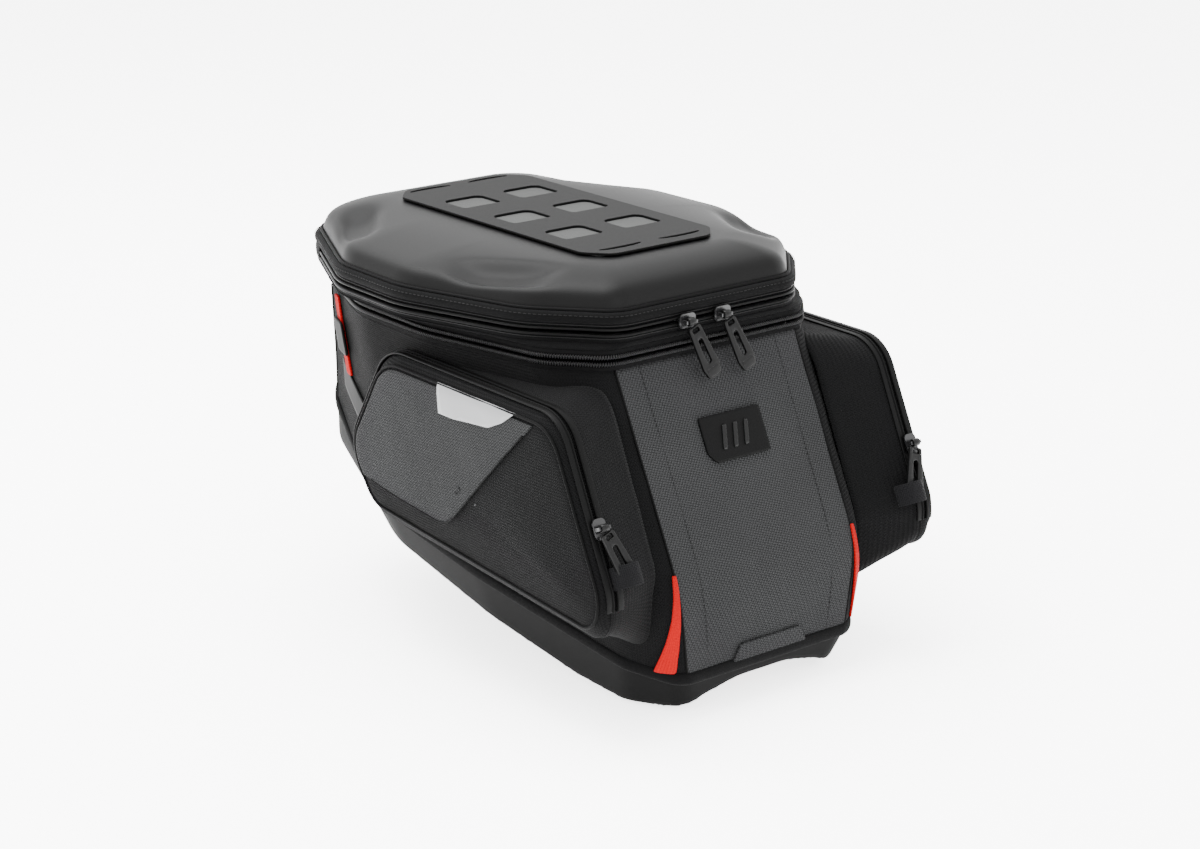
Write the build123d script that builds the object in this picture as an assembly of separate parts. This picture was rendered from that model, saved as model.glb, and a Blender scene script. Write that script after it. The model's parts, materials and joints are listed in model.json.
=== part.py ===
from build123d import *
import math
import os

# Motorcycle tank bag with an expandable body, a hard-shell lid and two side pockets.
# Millimetres. Origin at the centre of the tank ring's underside, +Y towards the front wheel,
# +X to the rider's right, +Z up with the lid level. The base slopes down towards the rider.

# ---------------------------------------------------------------- driving dimensions
# Outlines in plan: the right half's corners (x, y, corner radius), rider end first.
TOP_OUTLINE = [(80, -92, 22), (108, -60, 34), (127, 36, 100), (125, 112, 80), (86, 214, 45)]
MID_OUTLINE = [(80, -156, 22), (104, -124, 35), (120, 20, 120), (122, 100, 80), (86, 214, 45)]
SEAM_OUTLINE = [(72, -154, 18), (92, -122, 30), (112, 4, 150), (119, 108, 80), (86, 214, 45)]
PAN_OUTLINE = [(58, -140, 20), (79, -108, 30), (100, 4, 120), (107, 100, 60), (74, 200, 35)]
LID_OUTLINE = [(72, -92, 26), (113, -46, 60), (141, 44, 70), (139, 114, 60), (88, 222, 40)]

BODY_TOP = 174.0            # height of the fabric body's upper edge
MID_RIDER_END = (-156, 43)  # y, z where the rider panel stops leaning out
MID_SLOPE = 13.2            # degrees
BASE_SLOPE = 12.5           # degrees, base plate and tank ring
FRONT_SLOPE = 28.0          # degrees, where the base climbs over the front of the tank
PAN_SLOPE = 15.8            # degrees, underside of the pan's side lobes
BEND_Y = 105.0              # where the base slope changes
WALL = 2.5                  # padded fabric wall
PANEL_GAP = 0.3             # between pieces that lie side by side
RIDER_PANEL_TOP = 77.0      # half widths of the rider panel
RIDER_PANEL_BOTTOM = 67.0
FRONT_PANEL_Y = 186.0

RING_R_OUT = 76.0
RING_BORE_R = 58.0
RING_THICK = 9.0
RING_PAD = 12.0             # pan thickness over the ring
RING_RECESS_GAP = 6.0
RING_CHAMFER = 1.5
SCREW_CIRCLE_R = (RING_R_OUT + RING_BORE_R) / 2
PAN_WALL = 5.0
PAN_RIDER_DEPTH = (-124, -49)   # y, z of the lobes near the rider
FRONT_PAN_DEPTH = 30.0
SADDLE_R = 150.0
BINDING_HEIGHT = 8.0
BINDING_PROUD = 2.0
BINDING_GAP = 0.05          # between the binding and what it covers
PLATE_THICK = 3.0
PLATE_GAP = 1.5             # between the base plate and the walls
PLATE_SPAN = (-140.0, 84.0)     # y of its ends
SCREW_COUNT = 6
SCREW_R = 2.5
SCREW_HEAD_R = 4.6
SCREW_HEAD_H = 2.8
SCREW_HEAD_SUNK = 1.0
SCREW_CLEAR = 0.25
WASHER_R = 7.0
WASHER_THICK = 1.2
NUT_R = 4.6
NUT_THICK = 4.0
MAGNET_R = 7.0
MAGNET_THICK = 3.0
MAGNET_COUNT = 3
MAGNET_CLEAR = 0.2
LATCH = (14.0, 16.0, 4.4)   # width, length, height
LATCH_CLEAR = 0.3
LATCH_HEIGHT = 2.2          # of its underside over the ring's
LATCH_INSET = 0.6           # its nose behind the bore's wall, drawn unlocked
LATCH_SLOT_PAST = 2.0       # how far its slot runs on behind the ring's rim
STRAP = (12.0, 62.0, 1.5)   # release strap

TAPE_THICK = 1.2
COIL_THICK = 2.6
COIL_HEIGHT = 2.6
COIL_SUNK = 0.1             # how far the coil's foot is sewn into the tape
CHAIN_GAP = 2.2             # between the two halves of a chain, where a slider's post runs
TAPE_HEIGHT = 5.4           # from the chain's edge to where the tape is sewn in
EXPANDER_BAND = 3.5
SLEEVE_INSET = 9.0          # inner sleeve that unfolds when the body grows
SLEEVE_THICK = 1.2
SLEEVE_HEIGHT = 70.0
SLEEVE_FLOOR_GAP = 6.0
HINGE_Y = 190.0             # the lid's zipper stops here and its fabric hinge begins
HINGE_TAPE_THICK = 0.8
HINGE_TAPE_LAP = 1.0        # how far it runs down over the expander band
HINGE_HALF_WIDTH = 62.0

SLIDER_LENGTH = 13.0
SLIDER_HEIGHT = 9.4
SLIDER_CORNER = 3.0
SLIDER_PLATE = 1.2
SLIDER_CLEAR = 0.35
POST_THICK = 1.5
POST_LENGTH = 3.0
BRIDGE_BAR_R = 1.1
BRIDGE_RISE = 3.4
BRIDGE_SPAN = 9.0
BRIDGE_FOOT = 1.6
MAIN_SLIDER_X = (-20.0, 9.0)
EXPANSION_SLIDER_X = 24.0

PULL_LENGTH = 41.0
PULL_WIDTH = (8.0, 12.0)    # at the eye and at the tip
PULL_THICK = 2.4
PULL_SLOT = (3.0, 17.0)
PULL_KNUCKLE_R = 2.6
PULL_KNUCKLE_WIDTH = 5.4
PULL_EYE_CLEAR = 0.3
PULL_TIP_CORNER = 2.0       # how much narrower its end is than its tip
PULL_SLOT_AT = 0.6          # of the length, from the eye
PULL_NECK = 2.4             # length of the neck between the eye and the blade
PULL_LEAN = 18.0            # degrees, to the side
PULL_TILT = 16.0            # degrees, how far a hanging pull stands off the leaning panel
POCKET_PULL_TILT = -4.0     # degrees, tucked in under its elastic garage

LID_BAND_HEIGHT = 5.5
LID_BAND_PROUD = 2.0
LID_SEAM_INSET = 3.0
PIPING_R = 1.6
LID_WALL = 3.5
LID_SHOULDER = (15.0, 11.0)     # inset from the seam, rise above it
LID_PLATEAU = (41.0, 22.0)      # inset from the seam, rise above it
LINER_THICK = 1.2
LINER_GAP = 0.3
MESH_THICK = 1.0
MESH_SPAN = (-62.0, 176.0)      # y of its ends
LASH_HALF_WIDTH = 54.0
LASH_SPAN = (-48.0, 179.0)      # y of its rider and front edges
LASH_THICK = 1.6
LASH_CORNER = 14.0
WINDOW = (31.0, 26.0)
WINDOW_PITCH = (49.0, 55.0)
WINDOW_MIDDLE_Y = 68.0
WINDOW_CORNER = 3.0
SLOT = (34.0, 5.0)
SLOT_CORNER = 2.4
LASH_CUT = 9.0                  # depth of the cutters for windows and slots
SLOT_OFFSET_Y = 49.0            # from the nearest window's centre
BACKING_THICK = 0.8
BACKING_MARGIN = 6.0

POCKET_FACE_X = 140.0           # outer face of a side pocket, from the centre plane
POCKET_CHAIN_X = 130.0          # plane of the pocket's zipper
POCKET_BAND = (124.0, 135.0)    # the straight stretch of wall that carries the zipper
POCKET_ROOT_X = 84.0            # where the pocket's walls have run into the body
# Side view outlines of a pocket: every corner (y, z, corner radius).
POCKET_FACE = [
    (-154, 36, 14), (-156, 60, 26), (-111, 154, 26), (64, 156, 30), (104, 90, 26), (78, 56, 22),
]
POCKET_RIM = [
    (-159, 28, 16), (-160, 60, 28), (-113, 161, 28), (66, 163, 32), (111, 90, 28), (82, 48, 24),
]
POCKET_ROOT = [
    (-138, 4, 16), (-144, 58, 28), (-96, 166, 28), (68, 170, 32), (116, 94, 28), (88, 32, 24),
]
POCKET_WALL = 2.0
POCKET_GAP = 0.4                # between the pocket's fixed pieces and the body
POCKET_CHAIN_FROM = 22.0        # height of the chain's ends over the pocket's lower edge
POCKET_SLIDER_Z = 97.0
MESH_PATCH_THICK = 0.8
MESH_PATCH_EDGE = ((-97, 154), (-8, 64), (96, 74))   # y, z of its lower edge's corners
PATCH_INSET = 7.0
REFLECTOR = ((-77, 155), (4, 157), (-2, 138), (-18, 138), (-53, 141), (-63, 149))
REFLECTOR_THICK = 0.6
POCKET_TRIM = 0.5               # its walls start this far outside the root outline's plane
GARAGE_SPAN = (24.0, 38.0)      # along the pull, from the slider's middle
GARAGE_X = (108.0, 130.6)
GARAGE_THICK = 1.2
GARAGE_GAP = 0.1                # between it and the pocket's wall
GARAGE_HEIGHT = 9.5
GARAGE_LEG = 10.0               # how far its legs run down, before the wall trims them

LOOP_THICK = 1.6
LOOP_WIDTH = 17.0
REAR_LOOP_X = 74.0
REAR_LOOP_Z = (0.0, 58.0)
FRONT_LOOP = ((147, 174), (128, 166))   # y and z ranges
BADGE = (50.0, 27.0)
BADGE_CENTRE_Z = 124.0
BADGE_THICK = 1.6
BADGE_CORNER = 6.0
SIDE_STRIP = ((164, 108), (164, 124), (158, 134), (118, 116), (108, 84), (118, 84))
SIDE_STRIP_THICK = 1.5
FRONT_LOOP_RISE = 10.0          # how much lower its front end is
SEWN_GAP = 0.2                  # between a sewn-on piece and the panel under it
BADGE_GAP = 0.1
SMALL_PIECE_X = 20.0            # side pieces lie outside this
FLAP_HALF_WIDTH = (25.0, 31.0)  # at its top and its foot
FLAP_TOP_Z = 1.0
FLAP_THICK = 1.5
FLAP_LIFT = 0.5                 # of its foot over the seam
LOWEST_Z = -60.0                # under every point of the fabric body
HANDLE_ARM_X = 46.0
HANDLE_ARM = 12.0
HANDLE_WIDTH = 20.0
HANDLE_THICK = 5.0
HANDLE_DROP = 32.0
HANDLE_GAP = 3.0
HANDLE_Z = 160.0
HANDLE_PIN_R = 2.0
HANDLE_PIN_CLEAR = 0.3
HANDLE_KNUCKLE_R = 4.5
HANDLE_LUG = 3.0
HANDLE_LUG_GAP = 0.4
HANDLE_LUG_BACK = 0.2           # between a lug and the front panel

FAR = 900.0
CRUMB = 0.5                     # mm3, the largest solid that is dropped after a cut


# ---------------------------------------------------------------- outlines and planes
def grown(vertices, d):
    """Vertices of a closed polygon moved out by d, and their corner radii with them."""
    pts = [Vector(a, b) for a, b, _ in vertices]
    n = len(pts)
    turn = sum(pts[i].X * pts[(i + 1) % n].Y - pts[(i + 1) % n].X * pts[i].Y for i in range(n))
    side = 1 if turn > 0 else -1
    moved = []
    for i, (_, _, r) in enumerate(vertices):
        a = (pts[i] - pts[i - 1]).normalized()
        b = (pts[(i + 1) % n] - pts[i]).normalized()
        out_a = Vector(a.Y, -a.X) * side
        out_b = Vector(b.Y, -b.X) * side
        corner = pts[i] + (out_a + out_b) * (d / (1 + out_a.dot(out_b)))
        moved.append((corner.X, corner.Y, max(r + d, 1.0)))
    return moved


def mirrored(half):
    """A closed outline from its right half: rider end to front, then back down the left."""
    return half + [(-x, y, r) for x, y, r in reversed(half)]


def rounded_face(vertices):
    """A flat face with each corner rounded by its own radius."""
    n = len(vertices)
    starts, ends, mids = [], [], []
    for i, (x, y, r) in enumerate(vertices):
        p = Vector(x, y)
        a = (Vector(*vertices[i - 1][:2]) - p).normalized()
        b = (Vector(*vertices[(i + 1) % n][:2]) - p).normalized()
        half = math.acos(max(-1.0, min(1.0, a.dot(b)))) / 2
        reach = r / math.tan(half)
        starts.append(p + a * reach)
        ends.append(p + b * reach)
        mids.append(p + (a + b).normalized() * (r / math.sin(half) - r))
    edges = []
    for i in range(n):
        edges.append(ThreePointArc(starts[i], mids[i], ends[i]))
        edges.append(Line(ends[i], starts[(i + 1) % n]))
    return make_face(Wire(edges))


def sloped_plane(y, z, slope):
    """A plane through (0, y, z) that climbs towards the front."""
    s = math.radians(slope)
    return Plane(origin=(0, y, z), x_dir=(1, 0, 0), z_dir=(0, -math.sin(s), math.cos(s)))


def section(plane, slope, half, d=0.0):
    """An outline given in plan, laid on a sloped plane."""
    stretch = math.cos(math.radians(slope))
    plan = grown(mirrored(half), d)
    return plane * rounded_face([(x, (y - plane.origin.Y) / stretch, r) for x, y, r in plan])


def level_face(half, z, d=0.0):
    return Plane.XY.offset(z) * rounded_face(grown(mirrored(half), d))


def prism(half, d, z_low, z_high):
    return extrude(level_face(half, z_low, d), z_high - z_low, dir=(0, 0, 1))


def band(half, d_in, d_out, z_low, z_high):
    """A level ring that follows an outline."""
    return prism(half, d_out, z_low, z_high) - prism(half, d_in, z_low, z_high)


def block(low, high):
    size = [b - a for a, b in zip(low, high)]
    return Pos(*[(a + b) / 2 for a, b in zip(low, high)]) * Box(*size)


def above(plane, lift=0.0):
    return plane.offset(lift) * Pos(0, 0, FAR / 2) * Box(2 * FAR, 2 * FAR, FAR)


def flat_polygon(points):
    return make_face(Polyline([Vector(*p) for p in points], close=True))


def side_view(points, x_low, x_high):
    """A prism along X from corners given as (y, z)."""
    return extrude(Plane.YZ.offset(x_low) * flat_polygon(points), x_high - x_low, dir=(1, 0, 0))


def front_view(points, y_low, y_high):
    """A prism along Y from corners given as (x, z)."""
    corners = [Vector(x, y_low, z) for x, z in points]
    return extrude(make_face(Polyline(corners, close=True)), y_high - y_low, dir=(0, 1, 0))


def mirror_x(shape):
    return mirror(shape, Plane.YZ)


# ---------------------------------------------------------------- derived places
RING = sloped_plane(0, 0, BASE_SLOPE)
RING_TOP = RING_THICK + RING_PAD
BASE = RING.offset(RING_TOP)
bend_z = BASE.origin.Z + (BEND_Y - BASE.origin.Y) * math.tan(math.radians(BASE_SLOPE))
FRONT = sloped_plane(BEND_Y, bend_z, FRONT_SLOPE)
MID = sloped_plane(*MID_RIDER_END, MID_SLOPE)
PAN = sloped_plane(*PAN_RIDER_DEPTH, PAN_SLOPE)

RIDER_Y = TOP_OUTLINE[0][1]
FRONT_Y = TOP_OUTLINE[-1][1]
HALF_CHAIN = TAPE_HEIGHT + CHAIN_GAP / 2
EXPANSION_Z = BODY_TOP + HALF_CHAIN
EXPANDER_LOW = EXPANSION_Z + HALF_CHAIN
EXPANDER_HIGH = EXPANDER_LOW + EXPANDER_BAND
MAIN_Z = EXPANDER_HIGH + HALF_CHAIN
LID_LOW = MAIN_Z + HALF_CHAIN
LID_SEAM = LID_LOW + LID_BAND_HEIGHT
LASH_Z = LID_SEAM + LID_PLATEAU[1]


# ---------------------------------------------------------------- the bag's envelope
def body_hull(d):
    """The fabric body above the seam, its walls moved out by d and its floor left in place."""
    top = level_face(TOP_OUTLINE, BODY_TOP, d)
    middle = section(MID, MID_SLOPE, MID_OUTLINE, d)
    seam = section(BASE, BASE_SLOPE, SEAM_OUTLINE, d)
    return loft([top, middle], ruled=True) + loft([middle, seam], ruled=True)


def pan_hull(d):
    """The pan below the seam plane, moved out by d."""
    low = section(PAN.offset(-d), PAN_SLOPE, PAN_OUTLINE, d)
    return loft([section(BASE, BASE_SLOPE, SEAM_OUTLINE, d), low], ruled=True)


def over_seam(shape, lift=0.0):
    """The part of a shape above the seam that joins the walls to the pan."""
    return (shape & above(BASE, lift)) & above(FRONT, lift)


BODY = body_hull(0)
SEAM_BLOCK = above(BASE) & above(FRONT)


def skin(d_in, d_out):
    """A layer that follows the outside of the body."""
    return body_hull(d_out) - body_hull(d_in)


nodes = {}


def keep(name, shape):
    """Store a node's solids, without the crumbs that a cut leaves."""
    solids = [s for s in shape.solids() if s.volume > CRUMB]
    nodes[name] = solids[0] if len(solids) == 1 else Compound(children=solids)


# ---------------------------------------------------------------- fabric walls
walls = over_seam(BODY - body_hull(-WALL))
rider_cut = front_view(
    [(-RIDER_PANEL_TOP, BODY_TOP + 1), (RIDER_PANEL_TOP, BODY_TOP + 1),
     (RIDER_PANEL_BOTTOM, LOWEST_Z), (-RIDER_PANEL_BOTTOM, LOWEST_Z)],
    -FAR / 2, RIDER_Y + WALL + 1)
front_cut = block((-FAR, FRONT_PANEL_Y, -FAR), (FAR, FAR, FAR))
flap_cut = front_view(
    [(-FLAP_HALF_WIDTH[1], LOWEST_Z), (FLAP_HALF_WIDTH[1], LOWEST_Z),
     (FLAP_HALF_WIDTH[0], FLAP_TOP_Z), (-FLAP_HALF_WIDTH[0], FLAP_TOP_Z)],
    -FAR / 2, RIDER_Y)
sides = walls - rider_cut - front_cut
keep("rider_panel", (walls & rider_cut) - flap_cut)
keep("front_panel", walls & front_cut)
keep("side_panel_right", sides & block((0, -FAR, -FAR), (FAR, FAR, FAR)))
keep("side_panel_left", sides & block((-FAR, -FAR, -FAR), (0, FAR, FAR)))
keep("strap_flap", over_seam(skin(-FLAP_THICK, 0) & flap_cut, FLAP_LIFT) - above(MID))

# ---------------------------------------------------------------- pan, plate and tank ring
pan_outer = (BODY + pan_hull(0)) - SEAM_BLOCK
pan_outer = pan_outer & above(FRONT, -FRONT_PAN_DEPTH)
cavity = (body_hull(-PAN_WALL) + pan_hull(-PAN_WALL)) - SEAM_BLOCK
cavity = cavity & above(FRONT, PAN_WALL - FRONT_PAN_DEPTH)
saddle_axis = RING * Pos(0, 0, RING_THICK - SADDLE_R) * Rot(90, 0, 0)
inner_saddle = saddle_axis * Cylinder(SADDLE_R + PAN_WALL, FAR)
recess_r = RING_R_OUT + RING_RECESS_GAP
cup = RING * Pos(0, 0, RING_TOP - FAR / 2) * Cylinder(recess_r + PAN_WALL, FAR)
recess = RING * Pos(0, 0, RING_THICK - FAR / 2) * Cylinder(recess_r, FAR)
screw_spots = PolarLocations(SCREW_CIRCLE_R, SCREW_COUNT)
magnet_spots = PolarLocations(SCREW_CIRCLE_R, MAGNET_COUNT, start_angle=90)
screw_holes = [RING * spot * Cylinder(SCREW_R + SCREW_CLEAR, FAR / 2) for spot in screw_spots]
pan = (pan_outer - saddle_axis * Cylinder(SADDLE_R, FAR)) - (cavity - inner_saddle - cup) - recess
pan = pan - screw_holes
keep("base_pan", pan)

binding = body_hull(BINDING_PROUD) + pan_hull(BINDING_PROUD)
binding -= body_hull(BINDING_GAP) + pan_hull(BINDING_GAP)
over_binding = above(BASE, BINDING_HEIGHT / 2) & above(FRONT, BINDING_HEIGHT / 2)
keep("base_binding", over_seam(binding, -BINDING_HEIGHT / 2) - over_binding)

plate = body_hull(-WALL - PLATE_GAP) & above(BASE) - above(BASE, PLATE_THICK)
plate = plate & block((-FAR, PLATE_SPAN[0], -FAR), (FAR, PLATE_SPAN[1], FAR))
keep("base_plate", plate - screw_holes)

ring_solid = Cylinder(RING_R_OUT, RING_THICK, align=(Align.CENTER, Align.CENTER, Align.MIN))
ring_solid -= Cylinder(RING_BORE_R, RING_THICK, align=(Align.CENTER, Align.CENTER, Align.MIN))
top_edges = ring_solid.edges().filter_by(GeomType.CIRCLE).group_by(Axis.Z)[-1]
ring_solid = chamfer(top_edges.sort_by(SortBy.LENGTH)[-1], RING_CHAMFER)
slot_length = RING_R_OUT - RING_BORE_R + 2 * LATCH_SLOT_PAST
latch_slot = Box(LATCH[0] + 2 * LATCH_CLEAR, slot_length, LATCH[2] + 2 * LATCH_CLEAR)
slot_y = -(RING_R_OUT + RING_BORE_R) / 2
latch_slot = Pos(0, slot_y, LATCH_HEIGHT + LATCH[2] / 2) * latch_slot
ring_solid -= latch_slot
for spot in screw_spots:
    ring_solid -= spot * Cylinder(SCREW_R + SCREW_CLEAR, FAR / 2)
    sunk = SCREW_HEAD_SUNK + SCREW_HEAD_H
    ring_solid -= spot * Pos(0, 0, sunk / 2) * Cylinder(SCREW_HEAD_R + SCREW_CLEAR, sunk)
for spot in magnet_spots:
    depth = MAGNET_THICK + MAGNET_CLEAR
    ring_solid -= spot * Pos(0, 0, RING_THICK - depth / 2) * Cylinder(MAGNET_R + MAGNET_CLEAR, depth)
keep("tank_ring", RING * ring_solid)

screws, washers, nuts, magnets = [], [], [], []
low = (Align.CENTER, Align.CENTER, Align.MIN)
washer_z = RING_TOP + PLATE_THICK
for spot in screw_spots:
    head = Pos(0, 0, SCREW_HEAD_SUNK) * Cylinder(SCREW_HEAD_R, SCREW_HEAD_H, align=low)
    shank_length = washer_z + WASHER_THICK + NUT_THICK + 1 - SCREW_HEAD_SUNK
    shank = Pos(0, 0, SCREW_HEAD_SUNK) * Cylinder(SCREW_R, shank_length, align=low)
    screws.append(RING * spot * (head + shank))
    hole = Cylinder(SCREW_R + SCREW_CLEAR, FAR / 2)
    washer = Pos(0, 0, washer_z) * Cylinder(WASHER_R, WASHER_THICK, align=low)
    washers.append(RING * spot * (washer - hole))
    nut = Pos(0, 0, washer_z + WASHER_THICK) * extrude(RegularPolygon(NUT_R, 6), NUT_THICK)
    nuts.append(RING * spot * (nut - Cylinder(SCREW_R, FAR / 2)))
for spot in magnet_spots:
    magnet = Cylinder(MAGNET_R, MAGNET_THICK, align=low)
    magnets.append(RING * spot * Pos(0, 0, RING_THICK - MAGNET_THICK) * magnet)
keep("ring_screws", Compound(children=screws))
keep("ring_washers", Compound(children=washers))
keep("ring_nuts", Compound(children=nuts))
keep("ring_magnets", Compound(children=magnets))

latch_y = -RING_BORE_R - LATCH_INSET - LATCH[1] / 2
latch = Pos(0, latch_y, LATCH_HEIGHT + LATCH[2] / 2) * Box(*LATCH)
keep("ring_latch", RING * latch)
strap_y = latch_y - LATCH[1] / 2 - STRAP[1] / 2
keep("release_strap", RING * (Pos(0, strap_y, LATCH_HEIGHT + LATCH[2] / 2) * Box(*STRAP)))


# ---------------------------------------------------------------- zippers
def chain(half, z_low, coil_on_top):
    """Tape with a coil along one edge, all the way round an outline."""
    coil_z = z_low + TAPE_HEIGHT - COIL_HEIGHT if coil_on_top else z_low
    tape = band(half, -TAPE_THICK, 0, z_low, z_low + TAPE_HEIGHT)
    return tape + band(half, -COIL_SUNK, COIL_THICK, coil_z, coil_z + COIL_HEIGHT)


def open_chain(half, z_low, coil_on_top):
    """The same, but open at the front, where the lid's hinge is."""
    return chain(half, z_low, coil_on_top) - block((-FAR, HINGE_Y, 0), (FAR, FAR, FAR))


def slider(wall, bar_turn=0):
    """A zipper slider: travel along X, +Y across the chain, +Z outwards from the tape's face."""
    outer_z = COIL_THICK + SLIDER_CLEAR
    inner_z = -wall - SLIDER_CLEAR - SLIDER_PLATE
    blank = RectangleRounded(SLIDER_LENGTH, SLIDER_HEIGHT, SLIDER_CORNER)
    shape = Pos(0, 0, outer_z) * extrude(blank, SLIDER_PLATE)
    shape += Pos(0, 0, inner_z) * extrude(blank, SLIDER_PLATE)
    post_x = SLIDER_LENGTH / 2 - POST_LENGTH
    depth = outer_z - inner_z
    shape += Pos(post_x, 0, inner_z + depth / 2) * Box(POST_LENGTH, POST_THICK, depth)
    bar_z = outer_z + SLIDER_PLATE + BRIDGE_RISE
    bridge = Pos(0, 0, bar_z) * Rot(0, 90, 0) * Cylinder(BRIDGE_BAR_R, BRIDGE_SPAN)
    foot_height = BRIDGE_RISE + SLIDER_PLATE / 2 + BRIDGE_BAR_R
    for side in (-1, 1):
        foot_x = side * (BRIDGE_SPAN - BRIDGE_FOOT) / 2
        foot_z = bar_z + BRIDGE_BAR_R - foot_height / 2
        bridge += Pos(foot_x, 0, foot_z) * Box(BRIDGE_FOOT, 2 * BRIDGE_BAR_R, foot_height)
    return shape + Rot(0, 0, bar_turn) * bridge


def bar_height():
    return COIL_THICK + SLIDER_CLEAR + SLIDER_PLATE + BRIDGE_RISE


def pull(lean, tilt):
    """A moulded pull that hangs from the slider's bar towards -Y, leaning and tilted outwards by degrees."""
    top, tip = PULL_WIDTH[0] / 2, PULL_WIDTH[1] / 2
    length = PULL_LENGTH - PULL_KNUCKLE_R
    end = tip - PULL_TIP_CORNER
    corner_y = PULL_TIP_CORNER / 2 - length
    blade = make_face(Polyline(
        [(-top, 0), (top, 0), (tip, corner_y), (end, -length), (-end, -length), (-tip, corner_y)],
        close=True))
    blade = extrude(blade, PULL_THICK / 2, both=True)
    blade -= Pos(0, -length * PULL_SLOT_AT, 0) * Box(PULL_SLOT[0], PULL_SLOT[1], 2 * PULL_THICK)
    clear = Pos(0, PULL_KNUCKLE_R - PULL_NECK, 0) * Box(3 * tip, 4 * PULL_KNUCKLE_R, 4 * PULL_THICK)
    blade = Rot(0, 0, lean) * blade - clear
    neck = Pos(0, -PULL_KNUCKLE_R - PULL_NECK / 4, 0) * Box(PULL_KNUCKLE_WIDTH, PULL_NECK, PULL_THICK)
    knuckle = Rot(0, 90, 0) * Cylinder(PULL_KNUCKLE_R, PULL_KNUCKLE_WIDTH)
    eye = Rot(0, 90, 0) * Cylinder(BRIDGE_BAR_R + PULL_EYE_CLEAR, PULL_WIDTH[1] * 2)
    shape = blade + neck + knuckle - eye
    return Pos(0, 0, bar_height()) * Rot(-tilt, 0, 0) * shape


keep("expansion_zip_lower", chain(TOP_OUTLINE, BODY_TOP, True))
keep("expansion_zip_upper", chain(TOP_OUTLINE, EXPANSION_Z + CHAIN_GAP / 2, False))
keep("main_zip_lower", open_chain(LID_OUTLINE, EXPANDER_HIGH, True))
keep("main_zip_upper", open_chain(LID_OUTLINE, MAIN_Z + CHAIN_GAP / 2, False))

outer_ring = loft([level_face(TOP_OUTLINE, EXPANDER_LOW), level_face(LID_OUTLINE, EXPANDER_HIGH)], ruled=True)
sleeve_in = -SLEEVE_INSET - SLEEVE_THICK
keep("expander_band", outer_ring - prism(TOP_OUTLINE, sleeve_in, EXPANDER_LOW, EXPANDER_HIGH))
sleeve = band(TOP_OUTLINE, sleeve_in, -SLEEVE_INSET, EXPANDER_LOW - SLEEVE_HEIGHT, EXPANDER_LOW)
keep("expansion_sleeve", sleeve & above(FRONT, SLEEVE_FLOOR_GAP))

hinge = band(LID_OUTLINE, 0, HINGE_TAPE_THICK, EXPANDER_HIGH - HINGE_TAPE_LAP, MAIN_Z - CHAIN_GAP / 2)
hinge_area = block((-HINGE_HALF_WIDTH, HINGE_Y, 0), (HINGE_HALF_WIDTH, FAR, FAR))
keep("lid_hinge_tape", hinge & hinge_area)

for side, x in zip(("left", "right"), MAIN_SLIDER_X):
    spot = Plane(origin=(x, LID_OUTLINE[0][1], MAIN_Z), x_dir=(1, 0, 0), z_dir=(0, -1, 0))
    turned = Rot(0, 0, 180) if side == "left" else Rot(0, 0, 0)
    keep(f"main_slider_{side}", spot * turned * slider(TAPE_THICK))
    keep(f"main_pull_{side}", spot * pull(PULL_LEAN, PULL_TILT))
spot = Plane(origin=(EXPANSION_SLIDER_X, FRONT_Y, EXPANSION_Z), x_dir=(-1, 0, 0), z_dir=(0, 1, 0))
keep("expansion_slider", spot * slider(TAPE_THICK))
keep("expansion_pull", spot * pull(0, 0))


# ---------------------------------------------------------------- lid
def lid_dome(d):
    """The lid's shell as a solid, moved in by d."""
    inset = LID_SEAM_INSET + d
    seam = level_face(LID_OUTLINE, LID_SEAM, -inset)
    shoulder = level_face(LID_OUTLINE, LID_SEAM + LID_SHOULDER[1] - d, -inset - LID_SHOULDER[0])
    plateau = level_face(LID_OUTLINE, LID_SEAM + LID_PLATEAU[1] - d, -inset - LID_PLATEAU[0])
    return loft([seam, shoulder], ruled=True) + loft([shoulder, plateau], ruled=True)


keep("lid_band", band(LID_OUTLINE, -LID_SEAM_INSET - LID_WALL, LID_BAND_PROUD, LID_LOW, LID_SEAM))
keep("lid_shell", lid_dome(0) - lid_dome(LID_WALL))
piping_z = LID_SEAM + PANEL_GAP
piping_in = PANEL_GAP - LID_SEAM_INSET
keep("lid_piping", band(LID_OUTLINE, piping_in, piping_in + PIPING_R, piping_z, piping_z + PIPING_R))
liner_in = LID_WALL + LINER_GAP
keep("lid_liner", lid_dome(liner_in) - lid_dome(liner_in + LINER_THICK))
mesh_top = LID_SEAM - PANEL_GAP
mesh = prism(LID_OUTLINE, -LID_SEAM_INSET - LID_WALL - PANEL_GAP, mesh_top - MESH_THICK, mesh_top)
keep("lid_mesh_pocket", mesh & block((-FAR, MESH_SPAN[0], 0), (FAR, MESH_SPAN[1], FAR)))

lash_middle = sum(LASH_SPAN) / 2
lash_length = LASH_SPAN[1] - LASH_SPAN[0]
lash_sheet = RectangleRounded(2 * LASH_HALF_WIDTH, lash_length, LASH_CORNER)
lash = Pos(0, lash_middle, LASH_Z + BACKING_THICK) * extrude(lash_sheet, LASH_THICK)
window = extrude(RectangleRounded(*WINDOW, WINDOW_CORNER), LASH_CUT)
strap_slot = extrude(RectangleRounded(*SLOT, SLOT_CORNER), LASH_CUT)
for column in (-0.5, 0.5):
    x = column * WINDOW_PITCH[0]
    for row in (-1, 0, 1):
        y = WINDOW_MIDDLE_Y + row * WINDOW_PITCH[1]
        lash -= Pos(x, y, LASH_Z) * window
    for row in (-1, 1):
        y = WINDOW_MIDDLE_Y + row * (WINDOW_PITCH[1] + SLOT_OFFSET_Y)
        lash -= Pos(x, y, LASH_Z) * strap_slot
keep("lash_panel", lash)
backing_width = 2 * (LASH_HALF_WIDTH - BACKING_MARGIN)
backing_length = lash_length - 2 * BACKING_MARGIN
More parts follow.
